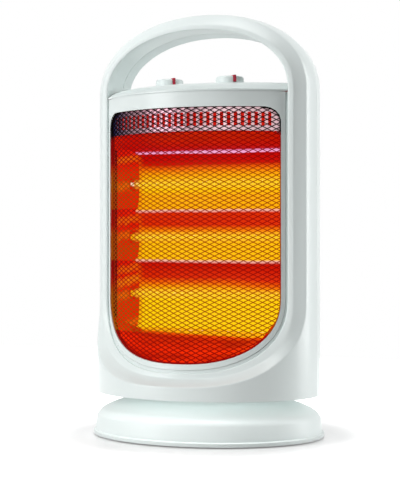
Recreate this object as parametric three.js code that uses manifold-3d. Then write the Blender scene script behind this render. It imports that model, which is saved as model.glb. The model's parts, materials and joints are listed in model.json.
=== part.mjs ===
// Upright three-tube halogen heater on a swinging base. Millimetres, +Z up.
// The origin is on the floor under the middle of the base, and the front faces -Y.
import * as THREE from 'three';
import { mergeVertices } from 'three/addons/utils/BufferGeometryUtils.js';
import Module from 'manifold-3d';

const wasm = await Module();
wasm.setup();

// ---------------------------------------------------------------- driving sizes
const CLEARANCE = 0.3;          // air between pieces that touch or slide
const WALL = 2.2;               // moulded wall
const SHEET = 0.8;              // reflector and deflector sheet metal

// Base: an elliptical disc with a lip, a side wall and a domed top
const BASE_HALF_WIDTH = 118;
const BASE_HALF_DEPTH = 99;
const FOOT_HEIGHT = 2.9;
const FOOT_RADIUS = 9;
const FOOT_SIDE_INSET = 46;     // foot centres, in from the sides of the base
const FOOT_END_INSET = 43;      // and in from its front and back
const LIP_BOTTOM = 1.5;
const LIP_HEIGHT = 3.2;
const LIP_PROUD = 2;
const BASE_WALL_TOP = 20.4;
const BASE_TOP = 36.5;
const SHOULDER_INSET = 11;
const PLATEAU_INSET = 42;
const BASE_PLATE_THICKNESS = 2;
const BASE_PLATE_GAP = 1.4;     // air round the plate inside the base wall
const BALLAST_THICKNESS = 8;
const BALLAST_SIDE_INSET = 30;
const BALLAST_FRONT_INSET = 27;
const BALLAST_BACK = -16;
const GLAND_HEIGHT = 12.5;
const GLAND_RADIUS = 5.5;
const GLAND_BORE = 3.6;
const GLAND_LENGTH = 9.8;
const GLAND_FLANGE = 1.2;
const GLAND_SETBACK = 5.8;      // its flange sits this far inside the base wall

// Turntable between base and column
const COLUMN_GAP = 6;
const PIVOT_RADIUS = 9;
const PIVOT_BORE = 6.5;
const PIVOT_FLANGE = 15;
const BEARING_INNER = 22;
const BEARING_OUTER = 34;
const NUT_RADIUS = 15;
const NUT_HEIGHT = 5;

// Swing drive: a motor on the column floor turns a crank in a slot of the base
const MOTOR_OFFSET = 42;
const MOTOR_RADIUS = 24;
const MOTOR_HEIGHT = 17;
const CRANK_THROW = 22;
const CRANK_THICKNESS = 2.4;
const CRANK_SHAFT_RADIUS = 2.5;
const CRANK_PIN_RADIUS = 2.5;
const CRANK_SLOT_SLACK = 1.7;

// Front window, and the bands around it from the inside to the outside
const OPENING_HALF_WIDTH = 92.5;
const OPENING_HEIGHT = 245.4;
const OPENING_CORNER = 13;
const CHIN_DROP = 65;           // height of the rounded lower end of the window
const CHIN_POWER = 2.5;         // superellipse power of that end
const CHIN_HEIGHT = 32.8;       // column bottom to window bottom
const MARGIN_SIDE = 3.2;
const MARGIN_BELOW = 5.5;
const HEAD_HEIGHT = 14.6;
const GROOVE_SIDE = 1.9;
const GROOVE_BELOW = 3.3;
const RIM_SIDE = 6.4;
const RIM_BELOW = 4.5;
const RIM_PROUD = 1.8;
const RIM_SLOPE = 0.3;
const BEVEL_SIDE = 8.8;
const BEVEL_BELOW = 6.5;
const BEVEL_POWER = 3;
const SIDE_BULGE = 2.7;
const GROOVE_DEPTH = 5.9;
const SKIRT_DEPTH = 5.4;
const SKIRT_WALL = 1.4;
const FLANGE_THICKNESS = 3;     // ledge behind the groove, measured front to back

// The window and its panel bow forward on one cylinder
const BOW_RADIUS = 134;
const BOW_FRONT = 71.5;
const PANEL_THICKNESS = 2.2;

// Column and carry handle
const COLUMN_FRONT = 91;
const COLUMN_BACK = 80;
const SPRING_ABOVE_PANEL = 4.7; // handle springs this far above the panel top
const HANDLE_RISE = 78;
const HANDLE_RIM_RISE = 65;
const HANDLE_HOLE_RISE = 60;
const HANDLE_BACK_DROP = 3;     // the hole is this much lower at the back
const HANDLE_BACK = 20;
const HANDLE_POWER = 2.1;
const HANDLE_EDGE = 4;
const SEAM = 0.3;               // joint line between front and rear housing
const FLOOR_INSET = 6;          // column floor set back from the front skin

// Deck with the two knobs
const DECK_RAMP = 30;
const DECK_RISE = 8.7;
const DECK_EDGE = 1.7;
const DECK_THICKNESS = 2.2;
const DECK_SIDE_GAP = 1;        // air between the deck and the handle legs
const KNOB_X = 32.8;
const KNOB_Y = -20;
const KNOB_RADIUS = 14;
const KNOB_HEIGHT = 7;
const POINTER_WIDTH = 2.6;
const POINTER_PROUD = 0.8;
const POINTER_TURN = Math.PI / 4;
const SHAFT_RADIUS = 3;
const SWITCH_WIDTH = 30;
const SWITCH_DEPTH = 26;
const SWITCH_HEIGHT = 20;

// Expanded-metal guard and the band that holds it
const MESH_THICKNESS = 1;
const MESH_LAP = 1.2;
const CELL_WIDTH = 33;
const CELL_HEIGHT = 24;
const STRAND_WIDTH = 2.4;
const BAND_THICKNESS = 1.4;
const BAND_DEPTH = 5;

// Slotted strip behind the top of the guard
const VENT_HEIGHT = 22.4;
const VENT_THICKNESS = 1;
const VENT_SLOT_WIDTH = 3.4;
const VENT_SLOT_HEIGHT = 13;
const VENT_PITCH = 6.6;

// Reflector with one trough for each tube, from the lowest up
const REFLECTOR_ABOVE_WINDOW = 26.7;
const TROUGH_HEIGHTS = [70.5, 50.5, 61];
const TUBE_HEIGHTS = [37.5, 24.5, 28];   // tube centre above the lower lip of its trough
const TROUGH_FRONT = 10;
const TROUGH_DEPTH = 9;
const SIDE_PLATE_INSET = 5;      // from the window's edge in to the side plates
const SIDE_PLATE_FLARE = 2.5;   // the side plates widen by this much towards the front
const SIDE_PLATE_BACK = 36;
const SIDE_PLATE_THICKNESS = 1;
const HEAT_SHIELD_Y = 32;

// Tubes
const TUBE_RADIUS = 5;
const TUBE_WALL = 1;
const TUBE_Y = 4;
const TUBE_OUTSIDE = 7.5;        // length of tube beyond each side plate
const FILAMENT_RADIUS = 1.1;
const CAP_RADIUS = 7;
const CAP_FLANGE_RADIUS = 9;
const CAP_INSIDE = 4.5;
const CAP_OUTSIDE = 13.5;

const BACK_SLOTS = 11;
const BACK_SLOT_WIDTH = 4;
const BACK_SLOT_HEIGHT = 48;
const BACK_SLOT_SPACING = 0.12;  // radians round the back
const SCREW_RADIUS = 1.8;
const SCREW_HEAD_RADIUS = 3.6;
const SCREW_HEAD_HEIGHT = 2;

// ---------------------------------------------------------------- sizes that follow
const FOOT_X = BASE_HALF_WIDTH - FOOT_SIDE_INSET;
const FOOT_Y = BASE_HALF_DEPTH - FOOT_END_INSET;
const BALLAST_HALF_WIDTH = BASE_HALF_WIDTH - BALLAST_SIDE_INSET;
const BALLAST_HALF_DEPTH = BASE_HALF_DEPTH - BALLAST_FRONT_INSET;
const COLUMN_BOTTOM = BASE_TOP + COLUMN_GAP;
const OPENING_BOTTOM = COLUMN_BOTTOM + CHIN_HEIGHT;
const OPENING_TOP = OPENING_BOTTOM + OPENING_HEIGHT;
const CHIN_Z = OPENING_BOTTOM + CHIN_DROP;
const PANEL_TOP = OPENING_TOP + HEAD_HEIGHT;
const SPRING_Z = PANEL_TOP + SPRING_ABOVE_PANEL;
const DECK_TOP = PANEL_TOP + CLEARANCE + DECK_EDGE + DECK_RISE;
const PANEL_HALF_WIDTH = OPENING_HALF_WIDTH + MARGIN_SIDE;
const RIM_INNER = PANEL_HALF_WIDTH + GROOVE_SIDE;
const RIM_OUTER = RIM_INNER + RIM_SIDE;
const BEVEL_OUTER = RIM_OUTER + BEVEL_SIDE;
const COLUMN_HALF_WIDTH = BEVEL_OUTER + SIDE_BULGE;
const PANEL_DROP = CHIN_DROP + MARGIN_BELOW;
const RIM_INNER_DROP = PANEL_DROP + GROOVE_BELOW;
const RIM_OUTER_DROP = RIM_INNER_DROP + RIM_BELOW;
const BEVEL_DROP = RIM_OUTER_DROP + BEVEL_BELOW;
const MESH_DEPTH = PANEL_THICKNESS + CLEARANCE + 0.1;
const BAND_FRONT = MESH_DEPTH + MESH_THICKNESS + CLEARANCE + 0.2;
const BAND_BACK = BAND_FRONT + BAND_DEPTH;
const BASE_PLATE_BOTTOM = FOOT_HEIGHT + CLEARANCE;
const BASE_PLATE_TOP = BASE_PLATE_BOTTOM + BASE_PLATE_THICKNESS;
const FLOOR_BOTTOM = COLUMN_BOTTOM + 0.5;
const FLOOR_TOP = FLOOR_BOTTOM + WALL;
const REFLECTOR_BOTTOM = OPENING_BOTTOM + REFLECTOR_ABOVE_WINDOW;
const REFLECTOR_TOP = REFLECTOR_BOTTOM + TROUGH_HEIGHTS.reduce((sum, height) => sum + height, 0);
const VENT_BOTTOM = OPENING_TOP - CLEARANCE - VENT_HEIGHT;
const SIDE_PLATE_X = OPENING_HALF_WIDTH - SIDE_PLATE_INSET;
const SHEET_HALF_WIDTH = SIDE_PLATE_X - CLEARANCE;
const TUBE_HALF_LENGTH = SIDE_PLATE_X + TUBE_OUTSIDE;
const CAP_INNER_END = SIDE_PLATE_X - CAP_INSIDE;
const CAP_OUTER_END = SIDE_PLATE_X + CAP_OUTSIDE;

// ---------------------------------------------------------------- colours
const finish = (color, roughness, metalness = 0) => ({ color, roughness, metalness });
const WHITE = finish(0xe6eeec, 0.3);
const DARK = finish(0x2a2220, 0.5, 0.4);
const STEEL = finish(0xb9bcc0, 0.35, 0.9);
const POLISHED = finish(0xf0c070, 0.2, 0.9);
const RUBBER = finish(0x24262a, 0.9);
const CERAMIC = finish(0xf0ece2, 0.6);
const QUARTZ = finish(0xffe2b0, 0.1);
const GLOWING = finish(0xffb030, 0.5);
const RED = finish(0xb01c3a, 0.4);
const BLACK = finish(0x1d1f22, 0.6);
const BRASS = finish(0xc7a45a, 0.35, 0.9);
const NYLON = finish(0xd8d6cc, 0.6);

const heater = new THREE.Group();
heater.name = 'halogen_heater';

function place(name, geometry, look, parent = heater) {
  const mesh = new THREE.Mesh(geometry, new THREE.MeshStandardMaterial(look));
  mesh.name = name;
  parent.add(mesh);
  return mesh;
}

// ---------------------------------------------------------------- solids
function bare(geometry) {
  const copy = geometry.clone();
  for (const attribute of Object.keys(copy.attributes)) {
    if (attribute !== 'position') copy.deleteAttribute(attribute);
  }
  return mergeVertices(copy, 1e-4);
}

function toSolid(geometry) {
  const merged = bare(geometry);
  return new wasm.Manifold(new wasm.Mesh({
    numProp: 3,
    vertProperties: new Float32Array(merged.attributes.position.array),
    triVerts: new Uint32Array(merged.index.array),
  }));
}

function toGeometry(solid) {
  const mesh = solid.getMesh();
  const geometry = new THREE.BufferGeometry();
  geometry.setAttribute('position', new THREE.BufferAttribute(new Float32Array(mesh.vertProperties), 3));
  geometry.setIndex(Array.from(mesh.triVerts));
  return geometry;
}

function cut(geometry, ...tools) {
  let solid = toSolid(geometry);
  for (const tool of tools) solid = solid.subtract(toSolid(tool));
  return toGeometry(solid);
}

function join(geometry, ...others) {
  let solid = toSolid(geometry);
  for (const other of others) solid = solid.add(toSolid(other));
  return toGeometry(solid);
}

function common(geometry, tool) {
  return toGeometry(toSolid(geometry).intersect(toSolid(tool)));
}

// A closed body from points and triangles, turned outwards by its signed volume
function bodyFrom(points, triangles) {
  let volume = 0;
  for (const [a, b, c] of triangles) {
    volume += points[a].dot(new THREE.Vector3().crossVectors(points[b], points[c]));
  }
  const geometry = new THREE.BufferGeometry().setFromPoints(points);
  const turned = volume < 0 ? triangles.map(([a, b, c]) => [a, c, b]) : triangles;
  geometry.setIndex(turned.flat());
  return bare(geometry);
}

// Loops of points joined one to the next; the last joins the first, or both ends are capped
function loft(loops, ends = 'joined') {
  const around = loops[0].length;
  const points = loops.flat();
  const triangles = [];
  const spans = ends === 'joined' ? loops.length : loops.length - 1;
  for (let row = 0; row < spans; row += 1) {
    const next = (row + 1) % loops.length;
    for (let step = 0; step < around; step += 1) {
      const after = (step + 1) % around;
      const [a, b] = [row * around + step, row * around + after];
      const [c, d] = [next * around + step, next * around + after];
      triangles.push([a, b, d], [a, d, c]);
    }
  }
  if (ends !== 'joined') {
    for (const [loop, start, flip] of [[loops[0], 0, true], [loops.at(-1), points.length - around, false]]) {
      for (const face of capTriangles(loop)) {
        const [a, b, c] = face.map((index) => index + start);
        triangles.push(flip ? [a, c, b] : [a, b, c]);
      }
    }
  }
  return bodyFrom(points, triangles);
}

// Triangles that fill a nearly flat loop, kept in the loop's own turning sense
function capTriangles(loop) {
  const normal = new THREE.Vector3();
  loop.forEach((point, index) => {
    const next = loop[(index + 1) % loop.length];
    normal.x += (point.y - next.y) * (point.z + next.z);
    normal.y += (point.z - next.z) * (point.x + next.x);
    normal.z += (point.x - next.x) * (point.y + next.y);
  });
  normal.normalize();
  const across = new THREE.Vector3(0.36, 0.48, 0.8).cross(normal).normalize();
  const along = new THREE.Vector3().crossVectors(normal, across);
  const flat = loop.map((point) => new THREE.Vector2(point.dot(across), point.dot(along)));
  return THREE.ShapeUtils.triangulateShape(flat, []);
}

// Upright prism on a plan outline, and the same lying along X or Y
function prism(outline, from, to, holes = []) {
  const shape = new THREE.Shape(outline);
  shape.holes = holes.map((hole) => new THREE.Path(hole));
  const geometry = new THREE.ExtrudeGeometry(shape, { depth: to - from, bevelEnabled: false });
  return geometry.translate(0, 0, from);
}

// The outline's first number runs along Y and its second along Z
function prismAlongX(outline, from, to) {
  const geometry = prism(outline, from, to);
  geometry.applyMatrix4(new THREE.Matrix4().makeBasis(
    new THREE.Vector3(0, 1, 0), new THREE.Vector3(0, 0, 1), new THREE.Vector3(1, 0, 0)));
  return geometry;
}

// The outline's first number runs along X and its second along Z
function prismAlongY(outline, from, to) {
  const geometry = prism(outline, -to, -from);
  return geometry.rotateX(Math.PI / 2);
}

function box(width, depth, height, x, y, z) {
  return new THREE.BoxGeometry(width, depth, height).translate(x, y, z + height / 2);
}

function rod(radius, from, to, x, y, sides = 20) {
  const geometry = new THREE.CylinderGeometry(radius, radius, to - from, sides);
  return geometry.rotateX(Math.PI / 2).translate(x, y, (from + to) / 2);
}

function rodAlongX(radius, from, to, y, z, sides = 20) {
  const geometry = new THREE.CylinderGeometry(radius, radius, to - from, sides);
  return geometry.rotateZ(Math.PI / 2).translate((from + to) / 2, y, z);
}

// Turned piece: profile of [radius, height], closed on itself
function turned(profile, sides = 24) {
  const points = profile.map(([radius, height]) => new THREE.Vector2(radius, height));
  points.push(points[0].clone());
  return bare(new THREE.LatheGeometry(points, sides).rotateX(Math.PI / 2));
}

const ellipse = (halfWidth, halfDepth, steps, z = 0) => Array.from({ length: steps }, (_, index) => {
  const angle = (index / steps) * 2 * Math.PI;
  return new THREE.Vector3(halfWidth * Math.cos(angle), halfDepth * Math.sin(angle), z);
});

// ---------------------------------------------------------------- shared curves
const bow = (x) => BOW_RADIUS - BOW_FRONT - Math.sqrt(BOW_RADIUS ** 2 - x ** 2);

// Plan of the column: angle 0 is the right side, a quarter turn is the front
function columnPoint(angle, z, inset = 0) {
  const depth = Math.sin(angle) > 0 ? COLUMN_FRONT : COLUMN_BACK;
  return new THREE.Vector3(
    (COLUMN_HALF_WIDTH - inset) * Math.cos(angle), -(depth - inset) * Math.sin(angle), z);
}

const signedPower = (value, power) => Math.sign(value) * Math.abs(value) ** power;

function chinAt(angle, halfWidth, drop, power) {
  return {
    x: halfWidth * signedPower(Math.cos(angle), 2 / power),
    z: CHIN_Z - drop * Math.abs(Math.sin(angle)) ** (2 / power),
  };
}

function archAt(angle, halfWidth, rise) {
  return {
    x: halfWidth * signedPower(Math.cos(angle), 2 / HANDLE_POWER),
    z: SPRING_Z + rise * Math.abs(Math.sin(angle)) ** (2 / HANDLE_POWER),
  };
}

// Height of the window's lower edge at a distance from the middle
function chinHeight(x) {
  const share = Math.min(1, Math.abs(x) / OPENING_HALF_WIDTH);
  return CHIN_Z - CHIN_DROP * (1 - share ** CHIN_POWER) ** (1 / CHIN_POWER);
}

const CHIN_STEPS = 36;
const CHIN_EASE = 1.35;         // spreads the points evenly round the superelliptical lower end
const TOP_STEPS = 10;
const CORNER_STEPS = 4;

// Angle of one point of the lower end, from the left side (0) over the middle to the right side
function chinAngle(step) {
  const fromSide = 2 * Math.min(step, CHIN_STEPS - step) / CHIN_STEPS;
  const near = fromSide ** CHIN_EASE;
  const turn = (Math.PI / 2) * (near / (near + (1 - fromSide) ** CHIN_EASE));
  return step < CHIN_STEPS / 2 ? Math.PI - turn : turn;
}

// Closed outline of the window or of a piece round it, from the top right over to the left
function windowOutline({ halfWidth, top, corner, drop, power }) {
  const outline = [];
  for (let step = 0; step <= TOP_STEPS; step += 1) {
    outline.push({ x: (halfWidth - corner) * (1 - (2 * step) / TOP_STEPS), z: top });
  }
  for (let step = 1; step <= CORNER_STEPS; step += 1) {
    const angle = Math.PI / 2 * (1 + step / CORNER_STEPS);
    outline.push({
      x: -halfWidth + corner + corner * Math.cos(angle),
      z: top - corner + corner * Math.sin(angle),
    });
  }
  for (let step = 0; step <= CHIN_STEPS; step += 1) {
    outline.push(chinAt(chinAngle(step), halfWidth, drop, power));
  }
  for (let step = 0; step < CORNER_STEPS; step += 1) {
    const angle = Math.PI / 2 * (step / CORNER_STEPS);
    outline.push({
      x: halfWidth - corner + corner * Math.cos(angle),
      z: top - corner + corner * Math.sin(angle),
    });
  }
  return outline;
}

const openingOutline = (grow) => windowOutline({
  halfWidth: OPENING_HALF_WIDTH + grow,
  top: OPENING_TOP + grow,
  corner: OPENING_CORNER + grow,
  drop: CHIN_DROP + grow,
  power: CHIN_POWER,
});

const panelOutline = (shrink) => windowOutline({
  halfWidth: PANEL_HALF_WIDTH - shrink,
  top: PANEL_TOP - shrink,
  corner: 1,
  drop: PANEL_DROP - shrink,
  power: CHIN_POWER,
});

// Puts an outline on the bowed surface, a depth behind the front of the panel
const onBow = (outline, depth) => outline.map(({ x, z }) => new THREE.Vector3(x, bow(x) + depth, z));

// ---------------------------------------------------------------- base
const BASE_STEPS = 64;
const INSIDE_STEPS = 32;
const basePlan = (inset, z, steps) => ellipse(BASE_HALF_WIDTH - inset, BASE_HALF_DEPTH - inset, steps, z);

// Rows of [inward offset, height] up the outside of the base
const BASE_PROFILE = [
  [0, LIP_BOTTOM], [0, LIP_BOTTOM + LIP_HEIGHT], [LIP_PROUD, LIP_BOTTOM + LIP_HEIGHT + 1],
  [LIP_PROUD + 1.2, BASE_WALL_TOP - 1], [LIP_PROUD + 2, BASE_WALL_TOP],
  [LIP_PROUD + 5, BASE_WALL_TOP + 3.8],
  [SHOULDER_INSET, BASE_WALL_TOP + 6.8], [SHOULDER_INSET + 9, BASE_WALL_TOP + 10.8],
  [PLATEAU_INSET - 10, BASE_TOP - 1.4], [PLATEAU_INSET, BASE_TOP],
];

const BASE_COVER_UNDERSIDE = BASE_TOP - WALL;
const CRANK_REACH = MOTOR_OFFSET + CRANK_THROW;
const CRANK_NEAR = Math.hypot(MOTOR_OFFSET, CRANK_THROW);
const CRANK_SLOT_HALF = CRANK_PIN_RADIUS + CRANK_SLOT_SLACK;

function baseCover() {
  const block = loft(BASE_PROFILE.map(([inset, z]) => basePlan(inset, z, BASE_STEPS)), 'capped');
  const hollow = loft([
    basePlan(LIP_PROUD + WALL, LIP_BOTTOM - 5, INSIDE_STEPS),
    basePlan(LIP_PROUD + WALL + 1.4, BASE_WALL_TOP - 2, INSIDE_STEPS),
    basePlan(SHOULDER_INSET + 3.5, BASE_WALL_TOP + 3, INSIDE_STEPS),
    basePlan(PLATEAU_INSET, BASE_COVER_UNDERSIDE, INSIDE_STEPS),
  ], 'capped');
  const hole = rod(PIVOT_RADIUS + CLEARANCE, BASE_TOP - 10, BASE_TOP + 10, 0, 0, 24);
  const slotNear = -(CRANK_NEAR - CRANK_SLOT_HALF - 1);
  const slotFar = -(CRANK_REACH + 1);
  const slot = join(
    box(slotNear - slotFar, 2 * CRANK_SLOT_HALF, 10, (slotNear + slotFar) / 2, 0, BASE_TOP - 6),
    rod(CRANK_SLOT_HALF, BASE_TOP - 6, BASE_TOP + 4, slotFar, 0, 16));
  const gland = new THREE.CylinderGeometry(
    GLAND_RADIUS + CLEARANCE, GLAND_RADIUS + CLEARANCE, 20, 20).translate(0, BASE_HALF_DEPTH, GLAND_HEIGHT);
  return cut(block, hollow, hole, slot, gland);
}

const BASE_PLATE_INSET = LIP_PROUD + WALL + BASE_PLATE_GAP;
const TIP_SWITCH_X = 46;
const TIP_SWITCH_Y = 42;
const PLUNGER_RADIUS = 3;
const PLUNGER_REST = 0.3;
const PLUNGER_LENGTH = 16;
const BASE_SCREW_INSET = 22;     // from the rim of the base, at its sides
const BASE_SCREW_FRONT = 17;
const BASE_SCREW_BACK = 25;
const BASE_SCREWS = [
  [-(BASE_HALF_WIDTH - BASE_SCREW_INSET), 0], [BASE_HALF_WIDTH - BASE_SCREW_INSET, 0],
  [0, -(BASE_HALF_DEPTH - BASE_SCREW_FRONT)], [-30, BASE_HALF_DEPTH - BASE_SCREW_BACK]];

function basePlate() {
  const plate = prism(
    ellipse(BASE_HALF_WIDTH - BASE_PLATE_INSET, BASE_HALF_DEPTH - BASE_PLATE_INSET, BASE_STEPS),
    BASE_PLATE_BOTTOM, BASE_PLATE_TOP);
  const holes = BASE_SCREWS.map(([x, y]) => rod(SCREW_RADIUS + CLEARANCE, 0, 20, x, y, 12));
  holes.push(rod(PLUNGER_RADIUS + CLEARANCE, 0, 20, TIP_SWITCH_X, TIP_SWITCH_Y, 16));
  return cut(plate, ...holes);
}

// Pan-head screw that points along +Z from the underside of its head
function screw(length) {
  const head = SCREW_HEAD_RADIUS;
  return turned([
    [0, 0], [head * 0.6, 0], [head, SCREW_HEAD_HEIGHT * 0.5], [head, SCREW_HEAD_HEIGHT],
    [SCREW_RADIUS, SCREW_HEAD_HEIGHT], [SCREW_RADIUS, SCREW_HEAD_HEIGHT + length],
    [0, SCREW_HEAD_HEIGHT + length],
  ], 12);
}

function ballast() {
  const steps = 24;
  const outline = [];
  const start = Math.asin(-BALLAST_BACK / BALLAST_HALF_DEPTH);
  for (let step = 0; step <= steps; step += 1) {
    const angle = Math.PI + start + (Math.PI - 2 * start) * (step / steps);
    outline.push(new THREE.Vector2(
      BALLAST_HALF_WIDTH * Math.cos(angle), BALLAST_HALF_DEPTH * Math.sin(angle)));
  }
  const from = BASE_PLATE_TOP + CLEARANCE;
  return prism(outline, from, from + BALLAST_THICKNESS);
}

place('base_cover', baseCover(), WHITE);
place('base_plate', basePlate(), BLACK);
place('ballast_weight', ballast(), STEEL);
[[-1, -1], [1, -1], [1, 1], [-1, 1]].forEach(([sideX, sideY], index) => {
  const foot = turned([
    [0, 0], [FOOT_RADIUS - 1, 0], [FOOT_RADIUS, 1], [FOOT_RADIUS, FOOT_HEIGHT], [0, FOOT_HEIGHT],
  ], 20);
  place(`foot_${index + 1}`, foot, RUBBER).position.set(sideX * FOOT_X, sideY * FOOT_Y, 0);
});
BASE_SCREWS.forEach(([x, y], index) => {
  const fixing = place(`base_screw_${index + 1}`, screw(7), STEEL);
  fixing.position.set(x, y, BASE_PLATE_BOTTOM - CLEARANCE - SCREW_HEAD_HEIGHT);
});

// Cord inlet: a stepped bush with an open bore, pointing along +Y
const glandBush = turned([
  [GLAND_BORE, 0], [GLAND_RADIUS + GLAND_FLANGE, 0], [GLAND_RADIUS + GLAND_FLANGE, 2], [GLAND_RADIUS, 2],
  [GLAND_RADIUS, GLAND_LENGTH - 3], [GLAND_RADIUS - 0.8, GLAND_LENGTH], [GLAND_BORE, GLAND_LENGTH],
], 20);
const gland = place('cord_inlet_bush', glandBush.rotateX(-Math.PI / 2), BLACK);
gland.position.set(0, BASE_HALF_DEPTH - LIP_PROUD - WALL - GLAND_SETBACK, GLAND_HEIGHT);

// Tip-over switch: its plunger is pressed in by the floor
const TIP_SWITCH_BOTTOM = BASE_PLATE_TOP + CLEARANCE;
const tipSwitch = cut(
  box(22, 13, 16, TIP_SWITCH_X, TIP_SWITCH_Y, TIP_SWITCH_BOTTOM),
  rod(PLUNGER_RADIUS + CLEARANCE, 0, TIP_SWITCH_BOTTOM + 13, TIP_SWITCH_X, TIP_SWITCH_Y, 16));
place('tip_switch', tipSwitch, BLACK);
const plunger = turned([
  [0, 0], [PLUNGER_RADIUS - 0.8, 0], [PLUNGER_RADIUS, 0.8],
  [PLUNGER_RADIUS, PLUNGER_LENGTH], [0, PLUNGER_LENGTH],
], 16);
place('tip_switch_plunger', plunger, RED).position.set(TIP_SWITCH_X, TIP_SWITCH_Y, PLUNGER_REST);

// ---------------------------------------------------------------- turntable and swing drive
const pivot = turned([
  [PIVOT_BORE, BASE_COVER_UNDERSIDE - CLEARANCE - 3], [PIVOT_FLANGE, BASE_COVER_UNDERSIDE - CLEARANCE - 3],
  [PIVOT_FLANGE, BASE_COVER_UNDERSIDE - CLEARANCE], [PIVOT_RADIUS, BASE_COVER_UNDERSIDE - CLEARANCE],
  [PIVOT_RADIUS, FLOOR_TOP + NUT_HEIGHT + 3], [PIVOT_BORE, FLOOR_TOP + NUT_HEIGHT + 3],
]);
place('pivot_tube', pivot, STEEL);
place('bearing_ring', turned([
  [BEARING_INNER, BASE_TOP + CLEARANCE], [BEARING_OUTER, BASE_TOP + CLEARANCE],
  [BEARING_OUTER, FLOOR_BOTTOM - CLEARANCE], [BEARING_INNER, FLOOR_BOTTOM - CLEARANCE],
], 32), NYLON);
place('pivot_nut', turned([
  [PIVOT_RADIUS + CLEARANCE, FLOOR_TOP + CLEARANCE], [NUT_RADIUS, FLOOR_TOP + CLEARANCE],
  [NUT_RADIUS, FLOOR_TOP + NUT_HEIGHT], [PIVOT_RADIUS + CLEARANCE, FLOOR_TOP + NUT_HEIGHT],
], 24), STEEL);

const MOTOR_BOTTOM = FLOOR_TOP + CLEARANCE;
const motor = cut(
  join(
    rod(MOTOR_RADIUS, MOTOR_BOTTOM, MOTOR_BOTTOM + MOTOR_HEIGHT, -MOTOR_OFFSET, 0, 28),
    box(14, 2 * MOTOR_RADIUS + 16, 1.6, -MOTOR_OFFSET, 0, MOTOR_BOTTOM)),
  rod(CRANK_SHAFT_RADIUS + CLEARANCE, 0, MOTOR_BOTTOM + 9, -MOTOR_OFFSET, 0, 16));
place('swing_motor', motor, STEEL);

// Crank: shaft up into the motor, arm under the column floor, pin down into the base slot
const CRANK_TOP = FLOOR_BOTTOM - 1.2;
const CRANK_BOTTOM = CRANK_TOP - CRANK_THICKNESS;
function crankArm() {
  const outline = [];
  const hub = 6;
  const tip = 4.5;
  for (let step = 0; step <= 8; step += 1) {
    const angle = Math.PI / 2 - (step / 8) * Math.PI;
    outline.push(new THREE.Vector2(-MOTOR_OFFSET + hub * Math.cos(angle), hub * Math.sin(angle)));
  }
  for (let step = 0; step <= 8; step += 1) {
    const angle = -Math.PI / 2 - (step / 8) * Math.PI;
    outline.push(new THREE.Vector2(-CRANK_REACH + tip * Math.cos(angle), tip * Math.sin(angle)));
  }
  return prism(outline, CRANK_BOTTOM, CRANK_TOP);
}
place('swing_crank', join(
  crankArm(),
  rod(CRANK_SHAFT_RADIUS, CRANK_BOTTOM, MOTOR_BOTTOM + 8, -MOTOR_OFFSET, 0, 16),
  rod(CRANK_PIN_RADIUS, BASE_COVER_UNDERSIDE + 0.6, CRANK_TOP, -CRANK_REACH, 0, 16)), STEEL);

// ---------------------------------------------------------------- column
const COLUMN_STEPS = 48;
const columnLoop = (z, inset) => Array.from({ length: COLUMN_STEPS }, (_, index) => (
  columnPoint((index / COLUMN_STEPS) * 2 * Math.PI, z, inset)));

function columnFloor() {
  const edge = (z) => Array.from({ length: COLUMN_STEPS }, (_, index) => {
    const angle = (index / COLUMN_STEPS) * 2 * Math.PI;
    return columnPoint(angle, z, Math.sin(angle) < -0.01 ? WALL + CLEARANCE : FLOOR_INSET);
  });
  const plate = loft([edge(FLOOR_BOTTOM), edge(FLOOR_TOP)], 'capped');
  return cut(
    plate,
    rod(PIVOT_RADIUS + CLEARANCE, 0, 80, 0, 0, 24),
    rod(CRANK_SHAFT_RADIUS + CLEARANCE, 0, 80, -MOTOR_OFFSET, 0, 16));
}
place('column_floor', columnFloor(), WHITE);

// Columns of points round the front housing: over the handle, down the left side,
// along the chin and up the right side. Above the panel the housing wraps the handle.
const ARCH_STEPS = 24;
const HANDLE_FOOT = PANEL_TOP - 4.5;
const GROOVE_TOP = HANDLE_FOOT - 4;
function housingStations() {
  const stations = [];
  for (let step = 0; step <= ARCH_STEPS; step += 1) {
    stations.push({ zone: 'handle', angle: Math.PI * (step / ARCH_STEPS) });
  }
  stations.push({ zone: 'handle', side: -1, z: HANDLE_FOOT }, { zone: 'panel', side: -1, z: GROOVE_TOP });
  for (let step = 0; step <= CHIN_STEPS; step += 1) {
    stations.push({ zone: 'panel', angle: chinAngle(step), fromSide: Math.min(step, CHIN_STEPS - step) });
  }
  stations.push({ zone: 'panel', side: 1, z: GROOVE_TOP }, { zone: 'handle', side: 1, z: HANDLE_FOOT });
  return stations;
}

function stationPoint(station, halfWidth, rise, drop, power) {
  if (station.side) return { x: station.side * halfWidth, z: station.z };
  if (station.zone === 'handle') return archAt(station.angle, halfWidth, rise);
  return chinAt(station.angle, halfWidth, drop, power);
}

const SEAM_ANGLE = Math.asin(SEAM / 2 / COLUMN_FRONT);
const BEVEL_ANGLE = Math.acos(BEVEL_OUTER / COLUMN_HALF_WIDTH);
const SKIN_ROWS = 4;             // rows down the outside, even: the inside takes every second one
const FAN_FROM = 5;              // chin points up to here run level round to the joint line,
const FAN_CORNER = 8;            // this one runs to the bottom corner of that line,
const FAN_TO = 10;               // and those from here run straight down to the bottom edge

const bevelEdge = (turn) => {
  const { x, z } = chinAt(turn, BEVEL_OUTER, BEVEL_DROP, BEVEL_POWER);
  return { angle: Math.acos(x / COLUMN_HALF_WIDTH), z };
};

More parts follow.
